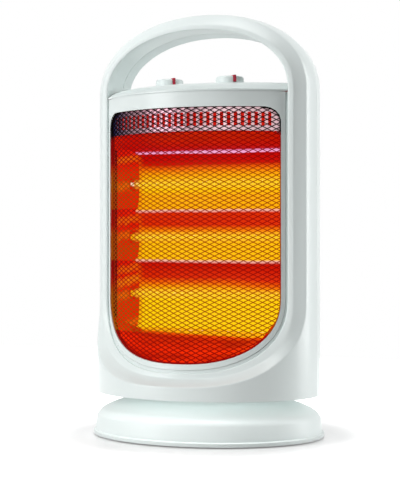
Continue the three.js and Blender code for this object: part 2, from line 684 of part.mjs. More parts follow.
// Where the outer skin that starts at one chin point ends, on the right side
function skinEnd(fromSide, start) {
  if (fromSide <= FAN_FROM) return { angle: SEAM_ANGLE, z: start.z };
  if (fromSide >= FAN_TO) return { angle: start.angle, z: COLUMN_BOTTOM };
  if (fromSide <= FAN_CORNER) {
    const from = bevelEdge(chinAngle(CHIN_STEPS - FAN_FROM)).z;
    const share = (fromSide - FAN_FROM) / (FAN_CORNER - FAN_FROM);
    return { angle: SEAM_ANGLE, z: from + (COLUMN_BOTTOM - from) * share };
  }
  const to = bevelEdge(chinAngle(CHIN_STEPS - FAN_TO)).angle;
  const share = (fromSide - FAN_CORNER) / (FAN_TO - FAN_CORNER);
  return { angle: SEAM_ANGLE + (to - SEAM_ANGLE) * share, z: COLUMN_BOTTOM };
}

function skinPoint(station, share) {
  if (station.fromSide !== undefined) {
    const left = station.angle > Math.PI / 2;
    const start = bevelEdge(left ? Math.PI - station.angle : station.angle);
    const end = skinEnd(station.fromSide, start);
    const point = columnPoint(
      start.angle + (end.angle - start.angle) * share, start.z + (end.z - start.z) * share);
    return left ? point.setX(-point.x) : point;
  }
  const angle = BEVEL_ANGLE + (SEAM_ANGLE - BEVEL_ANGLE) * share;
  const halfWidth = COLUMN_HALF_WIDTH * Math.cos(angle);
  const rise = HANDLE_RISE - (COLUMN_HALF_WIDTH - halfWidth);
  const { x, z } = stationPoint(station, halfWidth, rise, 0, 1);
  return new THREE.Vector3(x, -COLUMN_FRONT * Math.sin(angle), z);
}

function frontHousing() {
  const stations = housingStations();
  const onHandle = (station) => station.zone === 'handle';
  const rimInner = (station) => {
    const { x, z } = stationPoint(station, RIM_INNER, HANDLE_HOLE_RISE, RIM_INNER_DROP, CHIN_POWER + 0.05);
    return new THREE.Vector3(x, bow(onHandle(station) ? RIM_INNER : x) - RIM_PROUD, z);
  };
  const rows = [
    stations.map((station) => {
      if (onHandle(station)) return rimInner(station).setY(-SEAM / 2);
      const { x, z } = stationPoint(
        station, OPENING_HALF_WIDTH + BAND_THICKNESS + 0.5, 0, CHIN_DROP + BAND_THICKNESS + 0.5, CHIN_POWER);
      return new THREE.Vector3(x, bow(x) + GROOVE_DEPTH, z);
    }),
    stations.map((station) => {
      const point = rimInner(station);
      return point.setY(onHandle(station) ? -8 : bow(point.x) + GROOVE_DEPTH);
    }),
    stations.map(rimInner),
    stations.map((station) => {
      const { x, z } = stationPoint(station, RIM_OUTER, HANDLE_RIM_RISE, RIM_OUTER_DROP, CHIN_POWER + 0.25);
      const outwards = station.angle === undefined || onHandle(station) ? 1 : Math.cos(station.angle) ** 2;
      return new THREE.Vector3(x, rimInner(station).y + RIM_SLOPE * outwards, z);
    }),
  ];
  const rimRows = rows.length;
  for (let row = 0; row <= SKIN_ROWS; row += 1) {
    rows.push(stations.map((station) => skinPoint(station, row / SKIN_ROWS)));
  }
  const inner = thicken(rows, WALL).filter((row, index) => index < rimRows || (index - rimRows) % 2 === 0);
  const bevelMiddle = rows[rimRows - 1].map((point, step) => point.clone().lerp(rows[rimRows][step], 0.5));
  rows.splice(rimRows, 0, bevelMiddle);
  inner[0].forEach((point, step) => {
    if (!onHandle(stations[step])) point.copy(rows[0][step]).setY(rows[0][step].y + FLANGE_THICKNESS);
  });
  for (const point of inner.flat()) {
    point.y = Math.min(point.y, -SEAM / 2);
    point.z = Math.max(point.z, COLUMN_BOTTOM);
  }
  return loft([...rows, ...inner.reverse()]);
}

// The same rows set back by the wall, with mitred creases between one row and the next
function thicken(rows, wall) {
  const around = rows[0].length;
  const faceNormal = (row, step) => {
    const before = (step + around - 1) % around;
    const after = (step + 1) % around;
    const along = new THREE.Vector3().subVectors(rows[row][after], rows[row][before])
      .add(rows[row + 1][after]).sub(rows[row + 1][before]);
    const across = new THREE.Vector3().subVectors(rows[row + 1][step], rows[row][step]);
    return new THREE.Vector3().crossVectors(along, across).normalize();
  };
  return rows.map((row, index) => row.map((point, step) => {
    const below = faceNormal(Math.max(index - 1, 0), step);
    const above = faceNormal(Math.min(index, rows.length - 2), step);
    const reach = wall / (1 + below.dot(above));
    return point.clone().addScaledVector(below.add(above), reach);
  }));
}
place('front_housing', frontHousing(), WHITE);

// ---------------------------------------------------------------- rear housing
const EDGE_ROWS = 3;
const REAR_EDGE = DECK_RISE;
const HANDLE_LEG_FOOT = PANEL_TOP - 8;

function columnBlock(inset, bottom, top) {
  const loops = [columnLoop(bottom, inset)];
  for (let row = 0; row <= EDGE_ROWS; row += 1) {
    const angle = (Math.PI / 2) * (row / EDGE_ROWS);
    loops.push(columnLoop(
      top - REAR_EDGE + REAR_EDGE * Math.sin(angle), inset + REAR_EDGE * (1 - Math.cos(angle))));
  }
  return loft(loops, 'capped');
}

// Channel-shaped rear half of the handle, from leg to leg
function handleRear() {
  const profile = [
    [0, SEAM / 2], [0, HANDLE_BACK - HANDLE_EDGE], [HANDLE_EDGE, HANDLE_BACK],
    [Infinity, HANDLE_BACK], [Infinity, HANDLE_BACK - HANDLE_EDGE], [Infinity, SEAM / 2],
  ];
  const outerWidth = (y) => COLUMN_HALF_WIDTH * Math.sqrt(1 - (y / COLUMN_BACK) ** 2);
  const edge = (station, inset, y, outer) => {
    const halfWidth = outer ? outerWidth(y) - inset : RIM_INNER + inset;
    const lower = HANDLE_BACK_DROP * (y / HANDLE_BACK);
    const rise = outer
      ? HANDLE_RISE - (COLUMN_HALF_WIDTH - halfWidth)
      : HANDLE_HOLE_RISE - lower + inset;
    const { x, z } = station.side
      ? { x: station.side * halfWidth, z: station.z }
      : archAt(station.angle, halfWidth, rise);
    return new THREE.Vector3(x, y, z);
  };
  const section = (station) => [
    edge(station, 0, profile[0][1], true), edge(station, 0, profile[1][1], true),
    edge(station, HANDLE_EDGE, profile[2][1], true), edge(station, HANDLE_EDGE, profile[3][1], false),
    edge(station, 0, profile[4][1], false), edge(station, 0, profile[5][1], false),
    edge(station, WALL, profile[5][1], false), edge(station, WALL, HANDLE_BACK - HANDLE_EDGE, false),
    edge(station, HANDLE_EDGE, HANDLE_BACK - WALL, false),
    edge(station, HANDLE_EDGE, HANDLE_BACK - WALL, true),
    edge(station, WALL, HANDLE_BACK - HANDLE_EDGE, true), edge(station, WALL, profile[0][1], true),
  ];
  const stations = [{ side: 1, z: HANDLE_LEG_FOOT }];
  for (let step = 0; step <= ARCH_STEPS; step += 1) stations.push({ angle: Math.PI * (step / ARCH_STEPS) });
  stations.push({ side: -1, z: HANDLE_LEG_FOOT });
  return loft(stations.map(section), 'capped');
}

const REAR_SCREW_LOW = COLUMN_BOTTOM + 20;
const REAR_SCREW_HIGH = OPENING_TOP + 1;
const REAR_SCREWS = [
  [-1, REAR_SCREW_LOW], [1, REAR_SCREW_LOW], [-1, REAR_SCREW_HIGH], [1, REAR_SCREW_HIGH]];
const REAR_SCREW_ANGLE = 0.5;    // radians round the back

// Turn about Z that makes +Y point straight out of the column's back
const outwardTurn = (angle) => -Math.atan2(
  COLUMN_BACK * Math.sin(angle), COLUMN_HALF_WIDTH * Math.cos(angle));

function rearHousing() {
  const shell = cut(
    columnBlock(0, COLUMN_BOTTOM, DECK_TOP),
    columnBlock(WALL, COLUMN_BOTTOM - 5, DECK_TOP - WALL),
    box(400, 200, 600, 0, -100 + SEAM / 2, 0),
    box(2 * RIM_INNER, 2 * (HANDLE_BACK + 1.5), 60, 0, 0, HANDLE_LEG_FOOT));
  const tools = [];
  for (const bottom of [OPENING_BOTTOM + 10, OPENING_TOP - BACK_SLOT_HEIGHT - 12]) {
    for (let index = 0; index < BACK_SLOTS; index += 1) {
      const angle = (index - (BACK_SLOTS - 1) / 2) * BACK_SLOT_SPACING;
      const slot = box(BACK_SLOT_WIDTH, 24, BACK_SLOT_HEIGHT, 0, 0, bottom);
      const spot = columnPoint(-Math.PI / 2 + angle, 0);
      tools.push(slot.rotateZ(outwardTurn(angle)).translate(spot.x, spot.y, 0));
    }
  }
  for (const [side, z] of REAR_SCREWS) {
    const spot = columnPoint(-Math.PI / 2 + side * REAR_SCREW_ANGLE, z);
    const hole = new THREE.CylinderGeometry(SCREW_RADIUS + CLEARANCE, SCREW_RADIUS + CLEARANCE, 20, 12);
    tools.push(hole.rotateZ(outwardTurn(side * REAR_SCREW_ANGLE)).translate(spot.x, spot.y, spot.z));
  }
  return cut(join(shell, handleRear()), ...tools);
}
place('rear_housing', rearHousing(), WHITE);
REAR_SCREWS.forEach(([side, z], index) => {
  const spot = columnPoint(-Math.PI / 2 + side * REAR_SCREW_ANGLE, z);
  const stem = screw(10).rotateX(Math.PI / 2).translate(0, SCREW_HEAD_HEIGHT + CLEARANCE + 0.1, 0);
  const fixing = place(`rear_screw_${index + 1}`, stem, STEEL);
  fixing.rotation.z = outwardTurn(side * REAR_SCREW_ANGLE);
  fixing.position.copy(spot);
});

// ---------------------------------------------------------------- front panel, guard and strip
const panelLoops = [
  onBow(panelOutline(0), 0),
  onBow(openingOutline(0), 0),
  onBow(openingOutline(0), PANEL_THICKNESS),
  onBow(panelOutline(SKIRT_WALL), PANEL_THICKNESS),
  onBow(panelOutline(SKIRT_WALL), SKIRT_DEPTH),
  onBow(panelOutline(0), SKIRT_DEPTH),
];
place('front_panel', loft(panelLoops), WHITE);

const bandLoops = [
  onBow(openingOutline(0), BAND_FRONT),
  onBow(openingOutline(BAND_THICKNESS), BAND_FRONT),
  onBow(openingOutline(BAND_THICKNESS), BAND_BACK),
  onBow(openingOutline(0), BAND_BACK),
];
place('guard_band', loft(bandLoops), DARK);

// A prism with the window's outline, through the whole bow
const windowPrism = (grow) => prismAlongY(
  openingOutline(grow).map(({ x, z }) => new THREE.Vector2(x, z)), -BOW_FRONT - 10, 20);

// Diamond lattice of strands on the bowed surface, trimmed to the window
function guardMesh() {
  const halfCell = CELL_WIDTH / 2;
  const halfRise = CELL_HEIGHT / 2;
  const arc = BOW_RADIUS * Math.asin((OPENING_HALF_WIDTH + MESH_LAP) / BOW_RADIUS);
  const wide = Math.ceil(arc / halfCell) + 1;
  const tall = Math.ceil(OPENING_HEIGHT / halfRise) + 3;
  const open = 1 - (STRAND_WIDTH / 2) * Math.hypot(halfCell, halfRise) / (halfCell * halfRise);
  const points = [];
  const triangles = [];
  const at = (column, row, depth) => {
    const x = BOW_RADIUS * Math.sin((column * halfCell) / BOW_RADIUS);
    points.push(new THREE.Vector3(x, bow(x) + depth, OPENING_BOTTOM + (row - 1) * halfRise));
    return points.length - 1;
  };
  const quad = (a, b, c, d) => triangles.push([a, b, c], [a, c, d]);
  const inside = (column, row) => Math.abs(column) < wide && row > 0 && row < tall;
  for (let column = -wide + 1; column < wide; column += 1) {
    for (let row = 1; row < tall; row += 1) {
      if ((column + row) % 2 === 0) continue;
      const ways = [[1, 0], [0, 1], [-1, 0], [0, -1]];
      const ring = (share, depth) => ways.map(([right, up]) => (
        at(column + share * right, row + share * up, depth)));
      const [front, back] = [MESH_DEPTH, MESH_DEPTH + MESH_THICKNESS];
      const outerFront = ring(1, front);
      const outerBack = ring(1, back);
      const holeFront = ring(open, front);
      const holeBack = ring(open, back);
      ways.forEach((way, index) => {
        const next = (index + 1) % 4;
        quad(outerFront[index], outerFront[next], holeFront[next], holeFront[index]);
        quad(outerBack[next], outerBack[index], holeBack[index], holeBack[next]);
        quad(holeFront[index], holeFront[next], holeBack[next], holeBack[index]);
        const [right, up] = [way[0] + ways[next][0], way[1] + ways[next][1]];
        if (!inside(column + right, row + up)) {
          quad(outerFront[next], outerFront[index], outerBack[index], outerBack[next]);
        }
      });
    }
  }
  const trimmed = toSolid(common(bodyFrom(points, triangles), windowPrism(MESH_LAP)));
  const pieces = trimmed.decompose().sort((first, second) => second.volume() - first.volume());
  return toGeometry(pieces[0]);   // the strand ends that the shears leave loose fall away
}
place('guard_mesh', guardMesh(), STEEL);

function ventStrip() {
  const radius = BOW_RADIUS;
  const depth = BAND_FRONT + 0.6;
  const halfArc = Math.asin(OPENING_HALF_WIDTH / radius);
  const count = Math.floor((2 * halfArc * radius) / VENT_PITCH);
  const spread = (count * VENT_PITCH) / radius;
  const arcPoint = (angle, back) => new THREE.Vector2(
    radius * Math.sin(angle), bow(radius * Math.sin(angle)) + depth + back);
  const front = [];
  for (let step = 0; step <= count; step += 1) front.push(-spread / 2 + spread * (step / count));
  const edges = [-halfArc - 0.02, ...front, halfArc + 0.02];
  const outline = [
    ...edges.map((angle) => arcPoint(angle, 0)),
    ...edges.reverse().map((angle) => arcPoint(angle, VENT_THICKNESS)),
  ];
  const strip = prism(outline, VENT_BOTTOM, VENT_BOTTOM + VENT_HEIGHT);
  const slots = [];
  const slotBottom = VENT_BOTTOM + (VENT_HEIGHT - VENT_SLOT_HEIGHT) / 2;
  for (let step = 1; step < count - 1; step += 1) {
    const angle = -spread / 2 + spread * ((step + 0.5) / count);
    const spot = arcPoint(angle, 0);
    const slot = box(VENT_SLOT_WIDTH, 8, VENT_SLOT_HEIGHT, 0, 0, slotBottom);
    slots.push(slot.rotateZ(angle).translate(spot.x, spot.y, 0));
  }
  return common(cut(strip, ...slots), windowPrism(-CLEARANCE));
}
place('vent_strip', ventStrip(), STEEL);

// ---------------------------------------------------------------- reflector box
// Thin sheet between a back edge and a bowed front edge
function deflector(backY, backZ, frontDepth, frontZ) {
  const steps = 14;
  const loops = [];
  for (let step = 0; step <= steps; step += 1) {
    const x = SHEET_HALF_WIDTH * (1 - (2 * step) / steps);
    const y = bow(x) + frontDepth;
    const z = frontZ(x);
    loops.push([
      new THREE.Vector3(x, backY, backZ), new THREE.Vector3(x, y, z),
      new THREE.Vector3(x, y, z + SHEET), new THREE.Vector3(x, backY, backZ + SHEET),
    ]);
  }
  return loft(loops, 'capped');
}

function reflector() {
  const front = [];
  const steps = 7;
  let bottom = REFLECTOR_BOTTOM;
  TROUGH_HEIGHTS.forEach((height) => {
    for (let step = 0; step <= steps; step += 1) {
      const angle = Math.PI * (step / steps);
      const lip = 1.2;
      front.push(new THREE.Vector2(
        TROUGH_FRONT + TROUGH_DEPTH * Math.sin(angle) ** 0.8,
        bottom + lip + (height - 2 * lip) * (1 - Math.cos(angle)) / 2));
    }
    bottom += height;
  });
  const back = front.map((point, index) => {
    const before = front[Math.max(index - 1, 0)];
    const after = front[Math.min(index + 1, front.length - 1)];
    const along = after.clone().sub(before).normalize();
    return new THREE.Vector2(point.x + SHEET * along.y, point.y - SHEET * along.x);
  }).reverse();
  return prismAlongX([...front, ...back], -SHEET_HALF_WIDTH, SHEET_HALF_WIDTH);
}

const SIDE_PLATE_FRONT = bow(OPENING_HALF_WIDTH + BAND_THICKNESS) + BAND_BACK + CLEARANCE;
const tubeLevels = [];
let troughBottom = REFLECTOR_BOTTOM;
TROUGH_HEIGHTS.forEach((height, index) => {
  tubeLevels.push(troughBottom + TUBE_HEIGHTS[index]);
  troughBottom += height;
});

function sidePlate(side) {
  const frontX = SIDE_PLATE_X + SIDE_PLATE_FLARE;
  const outerX = SIDE_PLATE_X + SIDE_PLATE_THICKNESS;
  const flangeBack = SIDE_PLATE_FRONT + SIDE_PLATE_THICKNESS;
  const bendY = TUBE_Y - CAP_FLANGE_RADIUS - 1;   // flat behind this, where the ceramic ends seat
  const inner = [
    [OPENING_HALF_WIDTH, SIDE_PLATE_FRONT], [frontX, SIDE_PLATE_FRONT],
    [SIDE_PLATE_X, bendY], [SIDE_PLATE_X, SIDE_PLATE_BACK]];
  const outer = [
    [outerX, SIDE_PLATE_BACK], [outerX, bendY],
    [outerX + SIDE_PLATE_FLARE, flangeBack], [OPENING_HALF_WIDTH, flangeBack]];
  const outline = [...inner, ...outer].map(([x, y]) => new THREE.Vector2(side * x, y));
  const plate = prism(outline, REFLECTOR_BOTTOM - 2, REFLECTOR_TOP + 2);
  const holeX = side * SIDE_PLATE_X;
  const holes = tubeLevels.map((z) => rodAlongX(
    CAP_RADIUS + CLEARANCE, holeX - CAP_OUTSIDE, holeX + CAP_OUTSIDE, TUBE_Y, z, 20));
  return cut(bare(plate), ...holes);
}

place('reflector', reflector(), POLISHED);
place('side_reflector_left', sidePlate(-1), POLISHED);
place('side_reflector_right', sidePlate(1), POLISHED);
place('upper_deflector', deflector(
  TROUGH_FRONT - 1, REFLECTOR_TOP + 0.6, BAND_FRONT + 1, () => VENT_BOTTOM - CLEARANCE - SHEET), POLISHED);
place('lower_deflector', deflector(
  TROUGH_FRONT - 1, REFLECTOR_BOTTOM - 0.6 - SHEET, BAND_FRONT + 1,
  (x) => chinHeight(Math.abs(x) + 2) + 0.6), POLISHED);
place('heat_shield', box(
  2 * SHEET_HALF_WIDTH, 1, REFLECTOR_TOP - REFLECTOR_BOTTOM, 0, HEAT_SHIELD_Y, REFLECTOR_BOTTOM), STEEL);

// Quartz tube, glowing coil and two ceramic ends for each trough
function ceramicEnd(side) {
  const collar = SIDE_PLATE_X + SIDE_PLATE_THICKNESS + CLEARANCE;
  const end = turned([
    [TUBE_RADIUS + CLEARANCE, CAP_INNER_END], [CAP_RADIUS, CAP_INNER_END], [CAP_RADIUS, collar],
    [CAP_FLANGE_RADIUS, collar], [CAP_FLANGE_RADIUS, CAP_OUTER_END],
    [FILAMENT_RADIUS + CLEARANCE, CAP_OUTER_END], [FILAMENT_RADIUS + CLEARANCE, TUBE_HALF_LENGTH + CLEARANCE],
    [TUBE_RADIUS + CLEARANCE, TUBE_HALF_LENGTH + CLEARANCE],
  ], 16);
  return end.rotateY(side * Math.PI / 2);
}
['lower', 'middle', 'upper'].forEach((level, index) => {
  const z = tubeLevels[index];
  const tube = turned([
    [TUBE_RADIUS - TUBE_WALL, -TUBE_HALF_LENGTH], [TUBE_RADIUS, -TUBE_HALF_LENGTH],
    [TUBE_RADIUS, TUBE_HALF_LENGTH], [TUBE_RADIUS - TUBE_WALL, TUBE_HALF_LENGTH],
  ], 20).rotateY(Math.PI / 2);
  place(`tube_${level}`, tube, QUARTZ).position.set(0, TUBE_Y, z);
  const coil = rodAlongX(FILAMENT_RADIUS, -CAP_OUTER_END - 3, CAP_OUTER_END + 3, 0, 0, 10);
  place(`filament_${level}`, coil, GLOWING).position.set(0, TUBE_Y, z);
  place(`ceramic_end_${level}_left`, ceramicEnd(-1), CERAMIC).position.set(0, TUBE_Y, z);
  place(`ceramic_end_${level}_right`, ceramicEnd(1), CERAMIC).position.set(0, TUBE_Y, z);
});

// ---------------------------------------------------------------- deck and knobs
function deck() {
  const halfWidth = RIM_INNER - DECK_SIDE_GAP;
  const back = HANDLE_BACK + 1.5 - CLEARANCE;
  const steps = 16;
  const shares = [0, 0.1, 0.3, 0.55, 0.8, 1];
  const loops = [];
  for (let step = 0; step <= steps; step += 1) {
    const x = halfWidth * (1 - (2 * step) / steps);
    const frontY = bow(Math.min(Math.abs(x), PANEL_HALF_WIDTH)) + CLEARANCE;
    const top = shares.map((share) => {
      const ease = Math.sin(share * Math.PI / 2);
      return new THREE.Vector3(x, frontY + DECK_RAMP * share, DECK_TOP - DECK_RISE * (1 - ease));
    });
    top.push(new THREE.Vector3(x, back, DECK_TOP));
    const underside = top.map((point, index) => {
      const thickness = index === 0 ? DECK_EDGE : DECK_THICKNESS;
      return point.clone().setZ(point.z - thickness);
    }).reverse();
    loops.push([...top, ...underside]);
  }
  const plate = loft(loops, 'capped');
  return cut(plate, ...[-1, 1].map((side) => (
    rod(SHAFT_RADIUS + CLEARANCE, DECK_TOP - 20, DECK_TOP + 20, side * KNOB_X, KNOB_Y, 16))));
}
place('top_deck', deck(), WHITE);

// Low round knob with a slot from its middle to its rim for the pointer
const KNOB_BOTTOM = CLEARANCE;
const KNOB_TOP = KNOB_BOTTOM + KNOB_HEIGHT;
function knobBody() {
  const edge = 1.2;
  const round = turned([
    [0, KNOB_BOTTOM], [KNOB_RADIUS, KNOB_BOTTOM], [KNOB_RADIUS - 0.4, KNOB_TOP - edge],
    [KNOB_RADIUS - 0.4 - edge, KNOB_TOP], [0, KNOB_TOP],
  ], 32);
  const slot = box(
    POINTER_WIDTH + 2 * CLEARANCE, KNOB_RADIUS + 2, KNOB_HEIGHT, 0, -KNOB_RADIUS / 2 - 3, KNOB_TOP - 1.5);
  const notch = box(
    POINTER_WIDTH + 2 * CLEARANCE, 4, KNOB_HEIGHT + 4, 0, -KNOB_RADIUS, KNOB_BOTTOM - 2);
  const bore = rod(SHAFT_RADIUS + CLEARANCE, -1, KNOB_TOP - 3, 0, 0, 16);
  return cut(round, slot, notch, bore);
}
function knobPointer() {
  const rim = KNOB_RADIUS - 2 + CLEARANCE;
  const bar = box(POINTER_WIDTH, rim - 4, 1.5 + POINTER_PROUD - CLEARANCE, 0, -4 - (rim - 4) / 2 - 0.8,
    KNOB_TOP - 1.5 + CLEARANCE);
  const tongue = box(POINTER_WIDTH, 2, KNOB_HEIGHT - 1 + POINTER_PROUD, 0, -rim - 1, KNOB_BOTTOM + 1);
  return join(bar, tongue);
}
for (const [name, side, body] of [['left', -1, 'power_switch'], ['right', 1, 'timer_switch']]) {
  const dial = new THREE.Group();
  dial.position.set(side * KNOB_X, KNOB_Y, DECK_TOP);
  dial.rotation.z = POINTER_TURN;
  heater.add(dial);
  place(`knob_${name}`, knobBody(), WHITE, dial);
  place(`knob_pointer_${name}`, knobPointer(), RED, dial);
  place(`knob_shaft_${name}`, rod(SHAFT_RADIUS, -DECK_THICKNESS - 6, KNOB_TOP - 3.3, 0, 0, 16), BRASS, dial);
  const top = DECK_TOP - DECK_THICKNESS - CLEARANCE;
  const housing = cut(
    box(SWITCH_WIDTH, SWITCH_DEPTH, SWITCH_HEIGHT, side * KNOB_X, KNOB_Y, top - SWITCH_HEIGHT),
    rod(SHAFT_RADIUS + CLEARANCE, top - 8, top + 5, side * KNOB_X, KNOB_Y, 16));
  place(body, housing, BLACK);
}

// ---------------------------------------------------------------- wiring pieces
const BLOCK_X = 48;
const BLOCK_Y = 34;
const BLOCK_WIDTH = 36;
const BLOCK_DEPTH = 16;
const BLOCK_HEIGHT = 12;
const WELL_PITCH = 8;
const WELL_RADIUS = 2.2;
const BLOCK_BOTTOM = FLOOR_TOP + CLEARANCE;
const block = box(BLOCK_WIDTH, BLOCK_DEPTH, BLOCK_HEIGHT, BLOCK_X, BLOCK_Y, BLOCK_BOTTOM);
const wells = [-1.5, -0.5, 0.5, 1.5].map((step) => rod(
  WELL_RADIUS, BLOCK_BOTTOM + BLOCK_HEIGHT / 2, BLOCK_BOTTOM + 2 * BLOCK_HEIGHT,
  BLOCK_X + step * WELL_PITCH, BLOCK_Y, 10));
place('terminal_block', cut(block, ...wells), NYLON);
const CUTOUT_RADIUS = 8;
const CUTOUT_DEPTH = 5;
const CUTOUT_TAB = 1.2;
const CUTOUT_Z = REFLECTOR_TOP - 30;
const cutoutY = HEAT_SHIELD_Y + 0.5 + CLEARANCE;
place('thermal_cutout', join(
  new THREE.CylinderGeometry(CUTOUT_RADIUS, CUTOUT_RADIUS, CUTOUT_DEPTH, 20)
    .translate(0, cutoutY + CUTOUT_DEPTH / 2, CUTOUT_Z),
  box(26, CUTOUT_TAB, CUTOUT_RADIUS, 0, cutoutY + CUTOUT_TAB / 2, CUTOUT_Z - CUTOUT_RADIUS / 2)), STEEL);

export default heater;
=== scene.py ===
# %% [markdown]
# # A halogen heater, dressed over its CAD frame
# The packed model is loaded first. It is the skeleton: each piece made here either keeps one of its
# nodes and gives it a finish, or stands in for a node with a finer shape in the same place. The floor
# is at z = 0 and the front of the heater faces -Y. Blender works in metres. The curves of the front
# are written in millimetres, as on a drawing, and `MM` turns them into metres.

# %% Load the frame
import bmesh
import bpy
import json
from math import asin, cos, pi, radians, sin, sqrt
from mathutils import Matrix, Vector


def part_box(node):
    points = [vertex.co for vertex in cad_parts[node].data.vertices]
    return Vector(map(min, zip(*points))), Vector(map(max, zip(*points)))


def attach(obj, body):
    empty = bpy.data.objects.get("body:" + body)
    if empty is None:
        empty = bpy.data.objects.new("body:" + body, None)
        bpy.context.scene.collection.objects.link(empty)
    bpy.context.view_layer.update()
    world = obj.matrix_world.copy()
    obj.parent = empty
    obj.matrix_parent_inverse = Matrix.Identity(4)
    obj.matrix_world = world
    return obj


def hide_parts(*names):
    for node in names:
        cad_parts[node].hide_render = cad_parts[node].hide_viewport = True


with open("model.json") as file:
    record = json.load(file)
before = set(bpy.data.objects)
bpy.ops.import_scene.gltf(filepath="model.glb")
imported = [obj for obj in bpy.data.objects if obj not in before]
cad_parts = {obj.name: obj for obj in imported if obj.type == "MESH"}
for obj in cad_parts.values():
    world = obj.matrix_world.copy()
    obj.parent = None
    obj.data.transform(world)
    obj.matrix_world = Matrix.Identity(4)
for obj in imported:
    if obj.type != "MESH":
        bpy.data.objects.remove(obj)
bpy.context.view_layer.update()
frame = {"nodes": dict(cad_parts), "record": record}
nodes = frame["nodes"]
MM = 0.001

# %% [markdown]
# ## The camera
# The photograph is taken from the front right, 25 degrees round from the front, level with the middle
# of the window. A long lens keeps the sides nearly parallel. The two small shifts put the heater as far
# off the middle of the picture as it is there.

# %% Camera
VIEW_TURN = radians(25)
VIEW_DISTANCE = 1.4
VIEW_HEIGHT = 0.194
SENSOR_HEIGHT, LENS_LENGTH = 36, 105.66
PICTURE_HEIGHT, SHIFT_ACROSS, SHIFT_UP = 477, -8, 1.5

lens = bpy.data.cameras.new("camera")
lens.sensor_fit = "VERTICAL"
lens.sensor_height = SENSOR_HEIGHT
lens.lens = LENS_LENGTH
lens.shift_x = SHIFT_ACROSS / PICTURE_HEIGHT
lens.shift_y = SHIFT_UP / PICTURE_HEIGHT
camera = bpy.data.objects.new("camera", lens)
camera.location = (VIEW_DISTANCE * sin(VIEW_TURN), -VIEW_DISTANCE * cos(VIEW_TURN), VIEW_HEIGHT)
camera.rotation_euler = (pi / 2, 0, VIEW_TURN)
bpy.context.scene.collection.objects.link(camera)
bpy.context.scene.camera = camera
bpy.context.scene.view_settings.view_transform = "Standard"
print("camera at", tuple(round(v, 3) for v in camera.location))

# %% [markdown]
# ## Writing shaders as sums
# A procedural finish is arithmetic on positions and noise. Each node's output is wrapped in a small
# class, so that `0.3 + 0.1 * grain` adds the Math nodes by itself. Every other node comes from one
# method: its type, its settings, and then what goes into its sockets.

# %% A wire: one socket that can be added and multiplied
class Wire:
    def __init__(self, finish, socket):
        self.finish = finish
        self.socket = socket

    def maths(self, operation, first, second):
        return self.finish.add("Math", {"operation": operation}, {0: first, 1: second})

    def __add__(self, other):
        return self.maths("ADD", self, other)

    def __sub__(self, other):
        return self.maths("SUBTRACT", self, other)

    def __rsub__(self, other):
        return self.maths("SUBTRACT", other, self)

    def __mul__(self, other):
        return self.maths("MULTIPLY", self, other)

    def __truediv__(self, other):
        return self.maths("DIVIDE", self, other)

    __radd__ = __add__
    __rmul__ = __mul__

    def at_most(self, other):
        return self.maths("MINIMUM", self, other)

    def size(self):
        return self.maths("ABSOLUTE", self, 0)


print("a wire knows", [name for name in vars(Wire) if name.startswith("__r")], "too")


# %% A finish: one material and its shader
class Finish:
    def __init__(self, name, **fixed):
        self.material = bpy.data.materials.new(name)
        self.material.use_nodes = True
        self.tree = self.material.node_tree
        self.shader = self.tree.nodes["Principled BSDF"]
        for socket, value in fixed.items():
            self.set(socket.replace("_", " "), value)

    def add(self, kind, settings, inputs, output=0):
        node = self.tree.nodes.new("ShaderNode" + kind)
        for key, value in settings.items():
            if key == "stops":
                while len(node.color_ramp.elements) < len(value):
                    node.color_ramp.elements.new(1)
                for element, (place, colour) in zip(node.color_ramp.elements, value):
                    element.position = place
                    element.color = (*colour, 1)
            else:
                setattr(node, key, value)
        for key, value in inputs.items():
            if isinstance(value, Wire):
                self.tree.links.new(value.socket, node.inputs[key])
            else:
                node.inputs[key].default_value = value
        return Wire(self, node.outputs[output])

    def set(self, socket, value):
        if isinstance(value, Wire):
            self.tree.links.new(value.socket, self.shader.inputs[socket])
        else:
            self.shader.inputs[socket].default_value = value

    def place(self):
        return self.add("TexCoord", {}, {}, "Object")

    def axis(self, name):
        return self.add("SeparateXYZ", {}, {0: self.place()}, name)

    def noise(self, scale, detail=3, stretch=(1, 1, 1)):
        spot = self.add("Mapping", {}, {"Vector": self.place(), "Scale": stretch})
        return self.add("TexNoise", {}, {"Vector": spot, "Scale": scale, "Detail": detail})

    def between(self, value, low, high):
        return self.add("MapRange", {"interpolation_type": "SMOOTHSTEP"}, {0: value, 1: low, 2: high})

    def mix(self, share, first, second):
        return self.add("Mix", {"data_type": "RGBA"}, {0: share, 6: first, 7: second}, 2)

    def seen(self):
        """1 for what the camera, gloss and glass see, 0 for what lights the scene."""
        camera_ray, gloss_ray, glass_ray = (self.add("LightPath", {}, {}, "Is %s Ray" % kind)
                                            for kind in ("Camera", "Glossy", "Transmission"))
        return (camera_ray + gloss_ray + glass_ray).at_most(1)

    def bump(self, height, depth, strength):
        normal = self.add("Bump", {}, {"Height": height, "Distance": depth, "Strength": strength})
        self.set("Normal", normal)


print("patterns of a finish: noise, between, mix, seen, bump")


# %% Colours as a screen shows them
def linear(red, green, blue):
    """A colour read off a screen, 0 to 255, as the shader wants it."""
    shares = [value / 255 for value in (red, green, blue)]
    return tuple(share / 12.92 if share <= 0.04045 else ((share + 0.055) / 1.055) ** 2.4
                 for share in shares)


def rgba(red, green, blue):
    return (*linear(red, green, blue), 1)


BLACK = (0, 0, 0, 1)
print("white is", linear(255, 255, 255))
